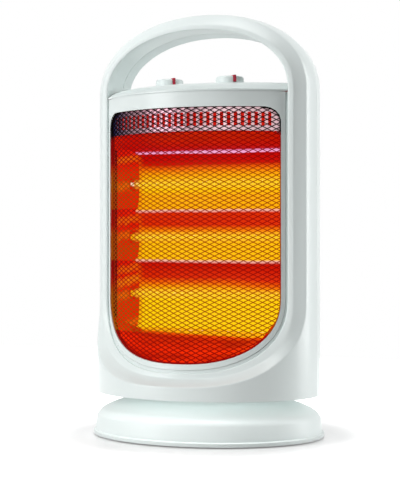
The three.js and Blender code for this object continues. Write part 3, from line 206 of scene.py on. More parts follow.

# %% [markdown]
# ## White glossy plastic
# The shells are injection-moulded in a cool white. Such plastic is never quite even: it has a very
# fine orange-peel texture from the mould, and its gloss varies a little where it has been handled.
# The lowest centimetre is mixed a shade greyer. The knobs are a touch duller than the column, and the
# base is the dullest of the three, so its slope shows a broad gleam and not the lamps.

# %% White shell
def white_plastic(name, dullness):
    finish = Finish(name, Specular_IOR_Level=0.35, Coat_Roughness=0.15)
    cloud = finish.noise(6, 2)
    peel = finish.noise(1400, 2)
    # The lowest centimetre is mixed a shade greyer.
    low_grey = 0.3 * finish.between(finish.axis("Z"), 0.010, 0.0)
    white = finish.mix(cloud, rgba(224, 233, 231), rgba(228, 236, 235))
    finish.set("Base Color", finish.mix(low_grey, white, rgba(186, 192, 189)))
    finish.set("Roughness", dullness + 0.03 * cloud + 0.03 * peel)
    finish.set("Coat Weight", 0.05 + 0.03 * cloud)
    finish.bump(peel, 0.00002, 0.15)
    return finish.material


shell_white = white_plastic("white_shell", 0.26)
knob_white = white_plastic("knob_white", 0.3)
base_white = white_plastic("base_white", 0.42)
print("white:", shell_white.name, knob_white.name, base_white.name)

# %% [markdown]
# ## Metals, black plastic, rubber and the red pointers
# The parts that do the work are plain: zinc-plated steel with a faint spangle, a cast ballast weight,
# brass spindles, nylon, black switch bodies and rubber feet. One recipe makes them all. A noise moves
# the colour, the gloss and a slight bump together, and its size tells cast iron from moulded plastic.

# %% Working finishes
def grained(name, colours, grain, rough, depth, stretch=(1, 1, 1), **fixed):
    finish = Finish(name, **fixed)
    field = finish.noise(grain, 4, stretch)
    finish.set("Base Color", finish.mix(field, rgba(*colours[0]), rgba(*colours[1])))
    finish.set("Roughness", rough[0] + (rough[1] - rough[0]) * field)
    finish.bump(field, depth, 0.4)
    return finish.material


steel = grained("zinc_steel", [(168, 172, 178), (196, 198, 200)], 180, (0.25, 0.45), 0.00003,
                Metallic=0.9)
cast_iron = grained("cast_iron", [(52, 52, 54), (84, 82, 80)], 420, (0.6, 0.85), 0.0003,
                    Metallic=0.5)
brass = grained("turned_brass", [(176, 140, 74), (208, 176, 104)], 300, (0.2, 0.35), 0.00003,
                (1, 1, 12), Metallic=0.95)
nylon = grained("nylon", [(206, 202, 190), (222, 219, 208)], 160, (0.45, 0.6), 0.00004)
black_plastic = grained("black_plastic", [(24, 25, 27), (38, 39, 41)], 1200, (0.4, 0.6), 0.00006)
rubber = grained("rubber", [(26, 27, 29), (40, 41, 42)], 700, (0.75, 0.9), 0.00012)
red_mark = grained("red_mark", [(176, 20, 48), (204, 34, 66)], 240, (0.2, 0.3), 0.00002)
print("working finishes:", len(bpy.data.materials))

# %% [markdown]
# ## The glow
# A polished trough shows the tube in front of it many times over, so the lower part of each trough
# looks yellow, the part under its upper lip looks red, and the lip itself catches the white light.
# Tracing that by reflection needs a great many samples, so the sheet gives off the light itself, in
# bands of colour along Z. Each trough has a list of bands, each at its share of the trough's height.

# %% Heights of the troughs and tubes
LEVELS = ("lower", "middle", "upper")
LOWER_RIDGE, UPPER_RIDGE = 0.1725, 0.223


def middle_of(node, axis):
    low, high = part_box(node)
    return (low[axis] + high[axis]) / 2


tube_heights = [middle_of("tube_" + level, 2) for level in LEVELS]
reflector_low, reflector_high = (corner[2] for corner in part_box("reflector"))
LIPS = [reflector_low, LOWER_RIDGE, UPPER_RIDGE, reflector_high]
GLOW_SPAN = LIPS[-1] - LIPS[0]
print("lips", [round(v, 4) for v in LIPS], "tubes", [round(v, 4) for v in tube_heights])

# %% Bands of colour
YELLOW = (255, 206, 8)
GOLD = (253, 190, 6)
AMBER = (250, 174, 6)
ORANGE = (238, 104, 0)
EMBER = (218, 42, 0)
RED = (199, 12, 0)
DEEP_RED = (192, 0, 0)
LIP_WHITE = (244, 168, 214)
LIP_WARM = (244, 176, 160)
TROUGH_BANDS = [
    [(0.034, YELLOW), (0.50, YELLOW), (0.60, AMBER), (0.68, ORANGE), (0.76, EMBER), (0.97, RED)],
    [(0.034, GOLD), (0.34, GOLD), (0.54, AMBER), (0.66, ORANGE), (0.73, EMBER), (0.97, EMBER)],
    [(0.034, AMBER), (0.26, AMBER), (0.42, YELLOW), (0.60, AMBER), (0.72, ORANGE), (0.79, RED),
     (0.97, DEEP_RED)]]
LIP_SHARE, TOP_LIP = 0.018, 0.0016


def glow_bands(lips=True):
    """Stops of colour up the reflector, as shares of its height, with or without its lit lips."""
    stops = []
    for low, high, bands in zip(LIPS, LIPS[1:], TROUGH_BANDS):
        lip = RED if not lips else (LIP_WARM if low > LIPS[0] else AMBER)
        for share, colour in [(0, lip), (LIP_SHARE, lip)] + bands:
            stops.append((low + (high - low) * share, colour))
    stops.append((LIPS[-1] - TOP_LIP, LIP_WHITE if lips else DEEP_RED))
    return [((z - LIPS[0]) / GLOW_SPAN, linear(*colour)) for z, colour in stops]


print(len(glow_bands()), "bands of colour")

# %% [markdown]
# ## Finishes that glow
# Each sheet in the window is thin steel lit by the tubes, so each gives off its own colours. Noise
# stretched along X breaks them up, as the ripples of rolled sheet do. A colour could be mixed by height
# alone, but then the backs would glow out through the vents too. The Normal coordinate says which way a
# face looks, and a face that looks back stays dark.

# %% A glowing finish
# A near-black base colour under the painted glow, so that the lamps hardly light the sheets.
DARK_BASE = (0.006, 0.001, 0.0005, 1)


def glowing(name, colour_of, strength=1.0):
    finish = Finish(name, Specular_IOR_Level=0.06, Emission_Strength=strength)
    colour = colour_of(finish)
    normal = finish.add("TexCoord", {}, {}, "Normal")
    backwards = finish.between(finish.add("SeparateXYZ", {}, {0: normal}, "Y"), 0.6, 0.9)
    finish.set("Emission Color", finish.mix(backwards, colour, BLACK))
    finish.set("Base Color", finish.mix(0.96, colour, DARK_BASE))
    finish.set("Roughness", 0.45 + 0.2 * finish.noise(200, 2, (0.1, 1, 1)))
    return finish.material


def mottled(first, second, *grain):
    """A colouring that wanders between two colours, with the grain that Finish.noise takes."""
    return lambda finish: finish.mix(finish.noise(*grain), rgba(*first), rgba(*second))


print("dark_base under the glow:", DARK_BASE)

# %% [markdown]
# ## Colours of the sheets
# The troughs follow their bands, which sag a little towards the right in the lowest one, and their
# painted light turns partly orange towards both ends. The ceiling's painted light is red with streaks,
# and orange in its front left corner. The floor of the window shows a painted reflection of the lowest
# tube, further forward on the right.

# %% Reflector, ceiling and floor of the window
def reflector_colour(finish):
    ripple = finish.noise(90, 3, (0.12, 1, 0.5))
    sag = (0.004 * finish.between(finish.axis("X"), 0.0, 0.08)
           * finish.between(finish.axis("Z"), 0.172, 0.160))
    share = (finish.axis("Z") - LIPS[0] + sag + 0.004 * (ripple - 0.5)) / GLOW_SPAN
    bands = finish.add("ValToRGB", {"stops": glow_bands()}, {0: share})
    edge = finish.between(finish.axis("X").size(), 0.080, 0.0875)
    return finish.mix(edge * 0.4, bands, rgba(*ORANGE))


def ceiling_colour(finish):
    streaks = finish.noise(70, 3, (0.5, 1.4, 1))
    front = finish.between(finish.axis("Y"), 0.008, -0.06)
    corner = finish.between(finish.axis("X"), -0.070, -0.088)
    red = finish.mix((streaks * 1.6 - 0.3).at_most(1), rgba(172, 0, 0), rgba(200, 4, 0))
    return finish.mix(corner * 0.7 * front, red, rgba(226, 40, 0))


def floor_colour(finish):
    wave = finish.noise(60, 3, (0.3, 1, 1))
    reach = finish.axis("Y") + 0.1 * (finish.axis("X") + 0.0875) - 0.008 + 0.006 * (wave - 0.5)
    red = finish.mix(finish.between(wave, 0.35, 0.65), rgba(236, 28, 0), rgba(186, 6, 0))
    warm = finish.mix(finish.between(reach, -0.001, 0.005), rgba(226, 60, 0), rgba(250, 176, 8))
    return finish.mix(finish.between(reach, -0.009, -0.002), red, warm)


reflector_glow = glowing("reflector_glow", reflector_colour)
ceiling_glow = glowing("ceiling_glow", ceiling_colour)
floor_glow = glowing("floor_glow", floor_colour)
print("lit sheets:", reflector_glow.name, ceiling_glow.name, floor_glow.name)

# %% [markdown]
# ## Light on the side plates
# The tubes and the edges of the troughs throw patches of light on the red side plates. A patch is a
# height, half a height and a colour. The line they follow slants with the depth, and noise frays it.

# %% Side plates
SIDE_RED, PATCH, WARM_PATCH = (236, 24, 0), (242, 108, 8), (246, 136, 12)
SIDE_PATCHES = [
    (0.107, 0.006, PATCH), (0.1385, 0.006, PATCH), (0.1515, 0.0065, WARM_PATCH),
    (0.164, 0.0055, PATCH), (0.184, 0.007, EMBER), (0.199, 0.005, PATCH), (0.214, 0.006, PATCH),
    (0.249, 0.006, PATCH), (0.276, 0.005, PATCH)]


def side_bands():
    return [((z - LIPS[0]) / GLOW_SPAN, linear(*colour)) for middle, half, patch in SIDE_PATCHES
            for z, colour in ((middle - half, SIDE_RED), (middle, patch), (middle + half, SIDE_RED))]


def side_colour(finish):
    ragged = finish.noise(150, 3, (1, 1, 0.8))
    slant = finish.axis("Z") - 0.12 * (finish.axis("Y") + 0.008) + 0.009 * (ragged - 0.5)
    share = (slant - LIPS[0]) / GLOW_SPAN
    bands = finish.add("ValToRGB", {"stops": side_bands()}, {0: share})
    bands = finish.mix(0.35 * finish.noise(110, 2), bands, rgba(150, 0, 0))
    # The flange along the front edge lies in shade, so it is painted near black.
    flange = finish.between(finish.axis("X").size(), 0.0901, 0.0905)
    return finish.mix(flange, bands, rgba(24, 4, 6))


side_glow = glowing("side_glow", side_colour)
baffle_glow = glowing("baffle_glow", mottled((150, 2, 6), (226, 36, 20), 120, 3, (1, 1, 0.1)))
coil_glow = glowing("coil_glow", mottled((255, 200, 8), (255, 216, 30), 300))
print(len(SIDE_PATCHES), "patches on each side plate")

# %% [markdown]
# ## Ceramic ends
# Each tube ends in a ceramic piece. It is painted bright where the tube lights its bore, nearly white
# on the upper one, and as red as the plate's painted light elsewhere. The bright spot is a band of
# height crossed with the inner end along X.

# %% Ceramic ends and the band round the window
LIT_CERAMIC, WHITE_LIT_CERAMIC = (250, 184, 10), (255, 236, 200)
DARK_FROM, LIT_FROM = 0.0868, 0.0850
# The tips are painted spots of light, the upper one nearly white.
CERAMIC_TIPS = [(LIT_CERAMIC, 0.0036), (LIT_CERAMIC, 0.0036), (WHITE_LIT_CERAMIC, 0.0022)]


def ceramic_colour(height, tip, reach):
    def colour(finish):
        near = finish.between((finish.axis("Z") - height).size(), reach, 0.6 * reach)
        inside = finish.between(finish.axis("X").size(), DARK_FROM, LIT_FROM)
        mottle = 0.75 + 0.25 * finish.noise(260)
        return finish.mix(near * inside * mottle, rgba(206, 22, 0), rgba(*tip))
    return colour


ceramic_glows = [glowing("ceramic_" + level, ceramic_colour(height, tip, reach))
                 for level, height, (tip, reach) in zip(LEVELS, tube_heights, CERAMIC_TIPS)]
# The band round the window lies in shade and is painted a dim red, as the glow inside would light it.
band_dark = glowing("band_dark", mottled((42, 7, 3), (84, 15, 6), 150), 0.9)
print("ceramic:", [glow.name for glow in ceramic_glows])

# %% [markdown]
# ## Quartz
# The tubes are clear quartz round a white-hot coil. At this brightness the glass is hardly seen, so it
# isn't traced as glass, which is slow and noisy. It is a thin bright skin with a low alpha.

# %% Quartz
quartz = Finish("quartz", Base_Color=rgba(120, 90, 20), Roughness=0.08, Specular_IOR_Level=0.2,
                Emission_Strength=0.9)
shimmer = quartz.noise(50, 2, (0.2, 1, 1))
quartz.set("Emission Color", quartz.mix(shimmer, rgba(255, 190, 20), rgba(255, 216, 70)))
quartz.set("Alpha", 0.08 + 0.1 * quartz.noise(80, 2, (0.1, 1, 1)))
print("quartz alpha from noise")

# %% [markdown]
# ## Guard metal
# The guard is expanded steel with a dark coating, so its strands draw a fine dark net on whatever lies
# behind. Each strand is painted with a little light of the glow at its own height, as the sheets behind
# it would light it. Above the troughs, in front of the strip, it gets no painted light.

# %% Guard finish
LIT_BELOW, UNLIT_ABOVE = 0.292, 0.299


def on_strand(red, green, blue):
    """The painted light that a strand takes on from a glow, with less red where the glow is yellow."""
    return red * (0.46 - 0.24 * green), green * 0.11, 0


guard_metal = Finish("guard_metal", Specular_IOR_Level=0.02, Emission_Strength=1.0)
# The painted light of the strands fades out between these heights; above them the strands are unlit.
cool = guard_metal.between(guard_metal.axis("Z"), LIT_BELOW, UNLIT_ABOVE)
grain = guard_metal.noise(400)
height_share = (guard_metal.axis("Z") - LIPS[0]) / GLOW_SPAN
strand_bands = [(place, on_strand(*colour)) for place, colour in glow_bands(False)]
tint = guard_metal.add("ValToRGB", {"stops": strand_bands}, {0: height_share})
guard_metal.set("Base Color", guard_metal.mix(grain, rgba(10, 4, 3), rgba(22, 14, 13)))
guard_metal.set("Emission Color", guard_metal.mix(cool, tint, BLACK))
guard_metal.set("Roughness", 0.6 + 0.2 * grain)
print("guard metal is plain above", UNLIT_ABOVE)

# %% [markdown]
# ## Strip metal
# The slotted strip is bright rolled steel, brushed along X. A painted gleam lightens it towards the
# right, where it faces the lamp, and painted shade darkens its left end. Both are stretched noise and
# soft steps along X, and the strip also gives off a little of this painted tone as light.

# %% Strip finish
strip_metal = Finish("strip_metal", Metallic=0.7, Emission_Strength=0.12)
brushing = strip_metal.noise(500, 3, (0.05, 0.05, 1))
drift = 0.11 * (strip_metal.noise(34, 2, (1, 1, 0.05)) - 0.5)
# Painted gleam on the right and painted shade at the left end, both also given off as light.
gleam = strip_metal.between(strip_metal.axis("X") + drift, -0.01, 0.055)
shade = strip_metal.between(strip_metal.axis("X"), -0.050, -0.086)
tone = strip_metal.mix(gleam, rgba(172, 128, 140), rgba(230, 192, 198))
tone = strip_metal.mix(shade, tone, rgba(40, 30, 84))
strip_metal.set("Base Color", tone)
strip_metal.set("Emission Color", tone)
strip_metal.set("Roughness", 0.22 + 0.2 * brushing)
strip_metal.bump(brushing, 0.00005, 0.5)
print("strip metal brushed along X")

# %% [markdown]
# ## Finished copies of CAD nodes
# A CAD node is loose triangles, so it always shades flat. A copy whose doubles are merged can shade
# smoothly: the faces are set smooth and only edges sharper than a crease angle stay sharp. A small
# bevel then gives the edges the rounding that any moulded or pressed part has. Where a bevel would
# fold on itself, weighted normals even out the shading instead.

# %% Helpers for pieces
def adopt(piece, body, material, slot, *replaced):
    """Gives a new piece its finish, its body and the nodes it stands for; its slot is not used."""
    piece.data.materials.clear()
    piece.data.materials.append(material)
    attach(piece, body)
    if replaced:
        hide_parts(*replaced)
    return piece


CREASE, BEVEL_ABOVE = 35, 40


def piece_from(bm, name, crease=CREASE):
    """Turns a bmesh into an object with smooth faces and sharp creases."""
    for face in bm.faces:
        face.smooth = True
    for edge in bm.edges:
        edge.smooth = edge.calc_face_angle(pi) < radians(crease)
    mesh = bpy.data.meshes.new(name)
    bm.to_mesh(mesh)
    bm.free()
    piece = bpy.data.objects.new(name, mesh)
    bpy.context.scene.collection.objects.link(piece)
    return piece


def rounded_edges(piece, width):
    bevel = piece.modifiers.new("rounded_edges", "BEVEL")
    bevel.width = width
    bevel.segments = 2
    bevel.limit_method = "ANGLE"
    bevel.angle_limit = radians(BEVEL_ABOVE)
    bevel.harden_normals = True


print("a crease is sharper than", CREASE, "degrees unless a piece says otherwise")

# %% Helper for finished copies
MERGE_WITHIN = 2e-6
FLAT_WITHIN = radians(0.4)
body_of_node = {node: body for body, names in frame["record"]["behaviour"]["bodies"].items()
                for node in names}
slot_of_node = {part["node"]: part["material_slot"] for part in frame["record"]["subparts"]}


def finished_copy(node, material, crease, bevel=0.0, even=False):
    bm = bmesh.new()
    bm.from_mesh(nodes[node].data)
    bmesh.ops.remove_doubles(bm, verts=bm.verts, dist=MERGE_WITHIN)
    bmesh.ops.dissolve_limit(bm, angle_limit=FLAT_WITHIN, verts=bm.verts, edges=bm.edges)
    piece = piece_from(bm, node + "_finished", crease)
    if bevel:
        rounded_edges(piece, bevel)
    elif even:
        piece.modifiers.new("even_shading", "WEIGHTED_NORMAL").keep_sharp = True
    return adopt(piece, body_of_node[node], material, slot_of_node[node], node)


print("helpers ready for", len(body_of_node), "nodes")

# %% [markdown]
# ## Copies with a moulded finish
# The rear housing, front panel, deck, base cover and knobs are right as they are in the CAD model. They
# could be drawn again, but they only need smooth shading and rounded edges.

# %% White copies
finished_copy("rear_housing", shell_white, 32, even=True)
finished_copy("front_panel", shell_white, 40, 0.00015)
finished_copy("top_deck", shell_white, 50, 0.00015)
finished_copy("base_cover", base_white, 38, even=True)
for side in ("left", "right"):
    finished_copy("knob_" + side, knob_white, 40, 0.0003)
    finished_copy("knob_pointer_" + side, red_mark, 40, 0.0002)
print("white copies made")

# %% [markdown]
# ## Copies of the working parts
# Feet, screws, shafts, tubes, sheets and the swing drive are turned or pressed parts. Their round faces
# show facets in the CAD model, and a copy with smooth shading takes them away.

# %% Copies of the working parts
SETS = [("foot_", rubber), ("base_screw", steel), ("rear_screw", steel), ("knob_shaft", brass),
        ("tube_", quartz.material)]
SETS += [("ceramic_end_" + level, glow) for level, glow in zip(LEVELS, ceramic_glows)]
for node in nodes:
    for start, look in SETS:
        if node.startswith(start):
            finished_copy(node, look, 40)
SINGLES = {
    "reflector": reflector_glow, "side_reflector_left": side_glow, "side_reflector_right": side_glow,
    "upper_deflector": ceiling_glow, "lower_deflector": floor_glow, "guard_band": band_dark,
    "vent_strip": strip_metal.material, "pivot_tube": steel, "pivot_nut": steel,
    "bearing_ring": nylon, "swing_motor": steel, "swing_crank": steel,
    "cord_inlet_bush": black_plastic}
for node, look in SINGLES.items():
    finished_copy(node, look, 40)
print("working copies made")

# %% [markdown]
# ## CAD nodes that stay
# Flat plates and boxes inside the heater have nothing to smooth. They keep their CAD meshes, and only
# their material slots change.

# %% CAD nodes that only need a finish
PAINTED = {
    "base_plate": black_plastic, "ballast_weight": cast_iron, "tip_switch": black_plastic,
    "tip_switch_plunger": red_mark, "column_floor": shell_white, "heat_shield": steel,
    "power_switch": black_plastic, "timer_switch": black_plastic, "terminal_block": nylon,
    "thermal_cutout": steel}
for node, look in PAINTED.items():
    for held in nodes[node].material_slots:
        held.material = look
print(len(PAINTED), "plain nodes painted")

# %% [markdown]
# ## The front housing
# This is the form that makes the heater: a groove round the window, a flat rim, a bevel and the round
# column skin, all in one ring that also wraps the handle. It could be cut out of solids, but then the
# gloss would break at every facet. It is made as a row of loops, each an outline of the same number of
# points, which `bridge_loops` joins. The curves are those of the CAD model, with three times its
# points, so that the gloss runs evenly. An outline is an arch over the handle, a chin below the window
# and two points at each side between them.

# %% Sizes of the front
BOW_RADIUS, BOW_FRONT = 134, 71.5
HALF_WIDTH, COLUMN_FRONT, COLUMN_BOTTOM, SEAM = 115.5, 91, 42.5, 0.3
CHIN_Z, CHIN_DROP, SPRING_Z, HANDLE_RISE = 140.3, 65, 340.0, 78
OPENING_HALF, PANEL_HALF, PANEL_DROP = 92.5, 95.7, 70.5
GROOVE_DEPTH, LEDGE, RIM_PROUD, RIM_SLOPE = 5.9, 0.5, 1.8, 0.3
BEVEL_HALF, BEVEL_DROP, BEVEL_SQUARE = 112.8, CHIN_DROP + 19.8, 3
ARCH_SQUARE = 2.1
# An outline: half its width, the rise of its arch, the drop of its chin, how square the chin is
GROOVE_LINE = (OPENING_HALF + 1.9, 0, CHIN_DROP + 1.9, 2.5)
PANEL_LINE = (PANEL_HALF + 0.25, 0, PANEL_DROP + 0.25, 2.5)
RIM_INNER_LINE = (97.6, 60, CHIN_DROP + 8.8, 2.55)
RIM_OUTER_LINE = (104.0, 65, CHIN_DROP + 13.3, 2.75)
# Depths of the handle's inner wall, from the seam to the rim
HANDLE_WALL = [-SEAM / 2, -8, -14, -20]
print("front from", COLUMN_BOTTOM, "to", SPRING_Z + HANDLE_RISE, "mm")


# %% Curves of the front
def bow(x):
    return BOW_RADIUS - BOW_FRONT - sqrt(BOW_RADIUS ** 2 - x ** 2)


def power(value, exponent):
    return (1 if value >= 0 else -1) * abs(value) ** exponent


def chin_at(turn, half_width, drop, square):
    return half_width * power(cos(turn), 2 / square), CHIN_Z - drop * abs(sin(turn)) ** (2 / square)


def arch_at(turn, half_width, rise):
    return (half_width * power(cos(turn), 2 / ARCH_SQUARE),
            SPRING_Z + rise * abs(sin(turn)) ** (2 / ARCH_SQUARE))


print("bow at the panel's edge:", round(bow(PANEL_HALF), 1), "mm")

# %% Stations round the front
ARCH_STEPS, CHIN_STEPS, CROWDING = 72, 108, 1.35
SIDE_HIGH, SIDE_LOW = 330.8, 326.8


def chin_turn(step):
    """The turn of a chin point, with the steps so spread that the points lie evenly."""
    from_side = 2 * min(step, CHIN_STEPS - step) / CHIN_STEPS
    near = from_side ** CROWDING
    turn = pi / 2 * near / (near + (1 - from_side) ** CROWDING)
    return pi - turn if step < CHIN_STEPS / 2 else turn


handle_stations = [("handle", pi * step / ARCH_STEPS, None) for step in range(ARCH_STEPS + 1)]
chin_stations = [("panel", chin_turn(step), min(step, CHIN_STEPS - step))
                 for step in range(CHIN_STEPS + 1)]
stations = (handle_stations + [("handle", -1, SIDE_HIGH), ("panel", -1, SIDE_LOW)] + chin_stations
            + [("panel", 1, SIDE_LOW), ("handle", 1, SIDE_HIGH)])
print(len(stations), "points round each loop")


# %% Loops of the window and rim
def on_station(station, half_width, rise, drop, square):
    zone, turn, mark = station
    if station in handle_stations:
        return arch_at(turn, half_width, rise)
    if station in chin_stations:
        return chin_at(turn, half_width, drop, square)
    return turn * half_width, mark


def rim_inner(station):
    x, z = on_station(station, *RIM_INNER_LINE)
    return x, bow(RIM_INNER_LINE[0] if station[0] == "handle" else x) - RIM_PROUD, z


def rim_outer(station):
    x, z = on_station(station, *RIM_OUTER_LINE)
    outwards = cos(station[1]) ** 2 if station in chin_stations else 1
    return x, rim_inner(station)[1] + RIM_SLOPE * outwards, z


def inner_row(station, row, line, depth):
    """A row inside the rim: on a line round the window, on the inner wall of the handle above it."""
    if station[0] == "handle":
        x, y, z = rim_inner(station)
        return x, HANDLE_WALL[row], z
    x, z = on_station(station, *line)
    return x, bow(x) + depth, z


INNER_ROWS = [(0, GROOVE_LINE, GROOVE_DEPTH), (1, PANEL_LINE, GROOVE_DEPTH), (2, PANEL_LINE, LEDGE),
              (3, RIM_INNER_LINE, LEDGE)]
print("rim outer at the side", [round(v, 1) for v in rim_outer(stations[0])])

# %% [markdown]
# ## The skin of the column
# The skin runs back from the bevel to the seam with the rear housing. Below the chin it has to turn
# down to the foot of the column as well, so its rows fan out there: the first points still run back to
# the seam, a few run to the corner, and the rest run down.

# %% Loops of the skin
SKIN_ROWS, FAN_FROM, FAN_CORNER, FAN_TO = 8, 15, 24, 30
SEAM_ANGLE = asin(SEAM / 2 / COLUMN_FRONT)
BEVEL_ANGLE = pi / 2 - asin(BEVEL_HALF / HALF_WIDTH)


def column_point(angle, z):
    return HALF_WIDTH * cos(angle), -COLUMN_FRONT * sin(angle), z


def bevel_edge(turn):
    x, z = chin_at(turn, BEVEL_HALF, BEVEL_DROP, BEVEL_SQUARE)
    return pi / 2 - asin(x / HALF_WIDTH), z


def skin_end(from_side, angle, z):
    """Where the skin row that starts at this point of the bevel ends, as an angle and a height."""
    if from_side <= FAN_FROM:
        return SEAM_ANGLE, z
    if from_side >= FAN_TO:
        return angle, COLUMN_BOTTOM
    if from_side <= FAN_CORNER:
        start = bevel_edge(chin_turn(CHIN_STEPS - FAN_FROM))[1]
        fall = (COLUMN_BOTTOM - start) * (from_side - FAN_FROM) / (FAN_CORNER - FAN_FROM)
        return SEAM_ANGLE, start + fall
    end = bevel_edge(chin_turn(CHIN_STEPS - FAN_TO))[0]
    swing = (end - SEAM_ANGLE) * (from_side - FAN_CORNER) / (FAN_TO - FAN_CORNER)
    return SEAM_ANGLE + swing, COLUMN_BOTTOM


def skin(station, share):
    if station in chin_stations:
        zone, turn, from_side = station
        left = turn > pi / 2
        angle, z = bevel_edge(pi - turn if left else turn)
        end_angle, end_z = skin_end(from_side, angle, z)
        x, y, z = column_point(angle + (end_angle - angle) * share, z + (end_z - z) * share)
        return (-x if left else x), y, z
    angle = BEVEL_ANGLE + (SEAM_ANGLE - BEVEL_ANGLE) * share
    half_width = HALF_WIDTH * cos(angle)
    x, z = on_station(station, half_width, HANDLE_RISE - (HALF_WIDTH - half_width), 0, 1)
    return x, -COLUMN_FRONT * sin(angle), z


print("skin starts at", [round(v, 1) for v in skin(stations[0], 0)])

# %% Helpers for loops and walls
def loop_of(bm, points):
    verts = [bm.verts.new(Vector(point) * MM) for point in points]
    return [bm.edges.new((vert, verts[(index + 1) % len(verts)])) for index, vert in enumerate(verts)]


def row_of(curve, *settings):
    return [curve(station, *settings) for station in stations]


def thickened(piece, thickness, offset=0):
    wall = piece.modifiers.new("wall", "SOLIDIFY")
    wall.thickness = thickness
    wall.offset = offset


print("a row has", len(row_of(rim_inner)), "points")

# %% [markdown]
# ## From loops to a housing
# Each loop is bridged to the next, from the foot of the groove out to the seam. Bridging doesn't say
# which way the faces look, so their normals are worked out and turned if most of them look inwards.
# The rim's two edges and the start of the skin are rounded, and then the sheet gets its wall.

# %% Front housing
RIM_ROUNDING, HOUSING_WALL = 0.0011, 0.0022
MIDDLE = Vector((0, 0, 0.2))
inner_rows = [row_of(inner_row, *settings) for settings in INNER_ROWS]
skin_rows = [row_of(skin, step / SKIN_ROWS) for step in range(SKIN_ROWS + 1)]
half_bevel = [tuple((a + b) / 2 for a, b in zip(p, q)) for p, q in zip(row_of(rim_outer), skin_rows[0])]
bm = bmesh.new()
inner_loops = [loop_of(bm, row) for row in inner_rows]
rim_loops = [loop_of(bm, row_of(rim_inner)), loop_of(bm, row_of(rim_outer))]
bevel_loop = loop_of(bm, half_bevel)
skin_loops = [loop_of(bm, row) for row in skin_rows]
loops = inner_loops + rim_loops + [bevel_loop] + skin_loops
for first, second in zip(loops, loops[1:]):
    bmesh.ops.bridge_loops(bm, edges=first + second)
bmesh.ops.recalc_face_normals(bm, faces=bm.faces)
outward = sum(face.normal.dot(face.calc_center_median() - MIDDLE) > 0 for face in bm.faces)
if outward < len(bm.faces) / 2:
    bmesh.ops.reverse_faces(bm, faces=bm.faces)
bmesh.ops.bevel(bm, geom=rim_loops[0] + rim_loops[1] + skin_loops[0], offset=RIM_ROUNDING,
                offset_type="OFFSET", segments=3, affect="EDGES", profile=0.5, material=-1,
                clamp_overlap=True)
front_housing = piece_from(bm, "front_housing_finished", 50)
thickened(front_housing, HOUSING_WALL, -1)
adopt(front_housing, "column", shell_white, "white_shell", "front_housing")
print("front housing:", len(front_housing.data.polygons), "faces")

# %% [markdown]
# ## The guard
# Expanded metal is sheet that is slit and then pulled, which opens the slits into diamonds and tips
# each strand a little. A picture of a net would be flat at a slant, so the strands are real. One
# diamond is a quad with its middle inset and taken out. The new face needs its normal before it can be
# inset. The sheet is made of it by doubling: the mesh is copied beside itself again and again, which
# needs few steps. Then it is cut along the window's outline, one straight cut for each stretch, and
# bowed.

# %% Window outline
CELL_HALF_WIDTH, CELL_HALF_HEIGHT, STRAND, TIP = 4.7, 2.2, 0.65, 0.3
OPENING_TOP, OPENING_CORNER, CORNER_STEPS = 320.7, 13, 6
LAP, HEM, GUARD_DEPTH = 1.2, 1.5, 3.1
GUARD_SHEET, HEM_FOLD = 0.0006, 0.0012


def window_corner(side, turns, half, top, corner):
    return [(side * (half - corner) + corner * cos(turn), top - corner + corner * sin(turn))
            for turn in turns]


def window_outline(grow):
    """The outline of the window, made larger all round by `grow`, from its top left corner down."""
    half, top, corner = OPENING_HALF + grow, OPENING_TOP + grow, OPENING_CORNER + grow
    left_turns = [pi / 2 * (1 + step / CORNER_STEPS) for step in range(CORNER_STEPS + 1)]
    right_turns = [pi / 2 * step / CORNER_STEPS for step in range(CORNER_STEPS + 1)]
    chin = [chin_at(chin_turn(step * 4), half, CHIN_DROP + grow, 2.5)
            for step in range(CHIN_STEPS // 4 + 1)]
    return (window_corner(-1, left_turns, half, top, corner) + chin
            + window_corner(1, right_turns, half, top, corner))


def along_bow(x):
    return BOW_RADIUS * asin(x / BOW_RADIUS)


print(len(window_outline(LAP)), "cuts round the guard")

# %% One diamond, doubled into a sheet
ACROSS_DOUBLINGS, UP_DOUBLINGS, SHEET_FOOT = 5, 6, 60
bm = bmesh.new()
corners = [(CELL_HALF_WIDTH, 0), (0, CELL_HALF_HEIGHT), (-CELL_HALF_WIDTH, 0), (0, -CELL_HALF_HEIGHT)]
diamond = bm.faces.new([bm.verts.new((x, 0, z)) for x, z in corners])
bm.normal_update()
bmesh.ops.inset_individual(bm, faces=[diamond], thickness=STRAND / 2, use_even_offset=True)
for vert in diamond.verts:
    vert.co.y = TIP if vert.co.z > 0.5 else (-TIP if vert.co.z < -0.5 else 0)
bmesh.ops.delete(bm, geom=[diamond], context="FACES_ONLY")


def double(bm, x, z):
    copy = bmesh.ops.duplicate(bm, geom=bm.verts[:] + bm.edges[:] + bm.faces[:])
    fresh = [item for item in copy["geom"] if isinstance(item, bmesh.types.BMVert)]
    bmesh.ops.translate(bm, verts=fresh, vec=(x, 0, z))


double(bm, CELL_HALF_WIDTH, CELL_HALF_HEIGHT)
for step in range(ACROSS_DOUBLINGS):
    double(bm, 2 * CELL_HALF_WIDTH * 2 ** step, 0)
for step in range(UP_DOUBLINGS):
    double(bm, 0, 2 * CELL_HALF_HEIGHT * 2 ** step)
start_x = -(2 ** ACROSS_DOUBLINGS - 1) * CELL_HALF_WIDTH
bmesh.ops.translate(bm, verts=bm.verts, vec=(start_x, 0, SHEET_FOOT))
bmesh.ops.remove_doubles(bm, verts=bm.verts, dist=0.001)
print("sheet of", len(bm.faces), "faces")

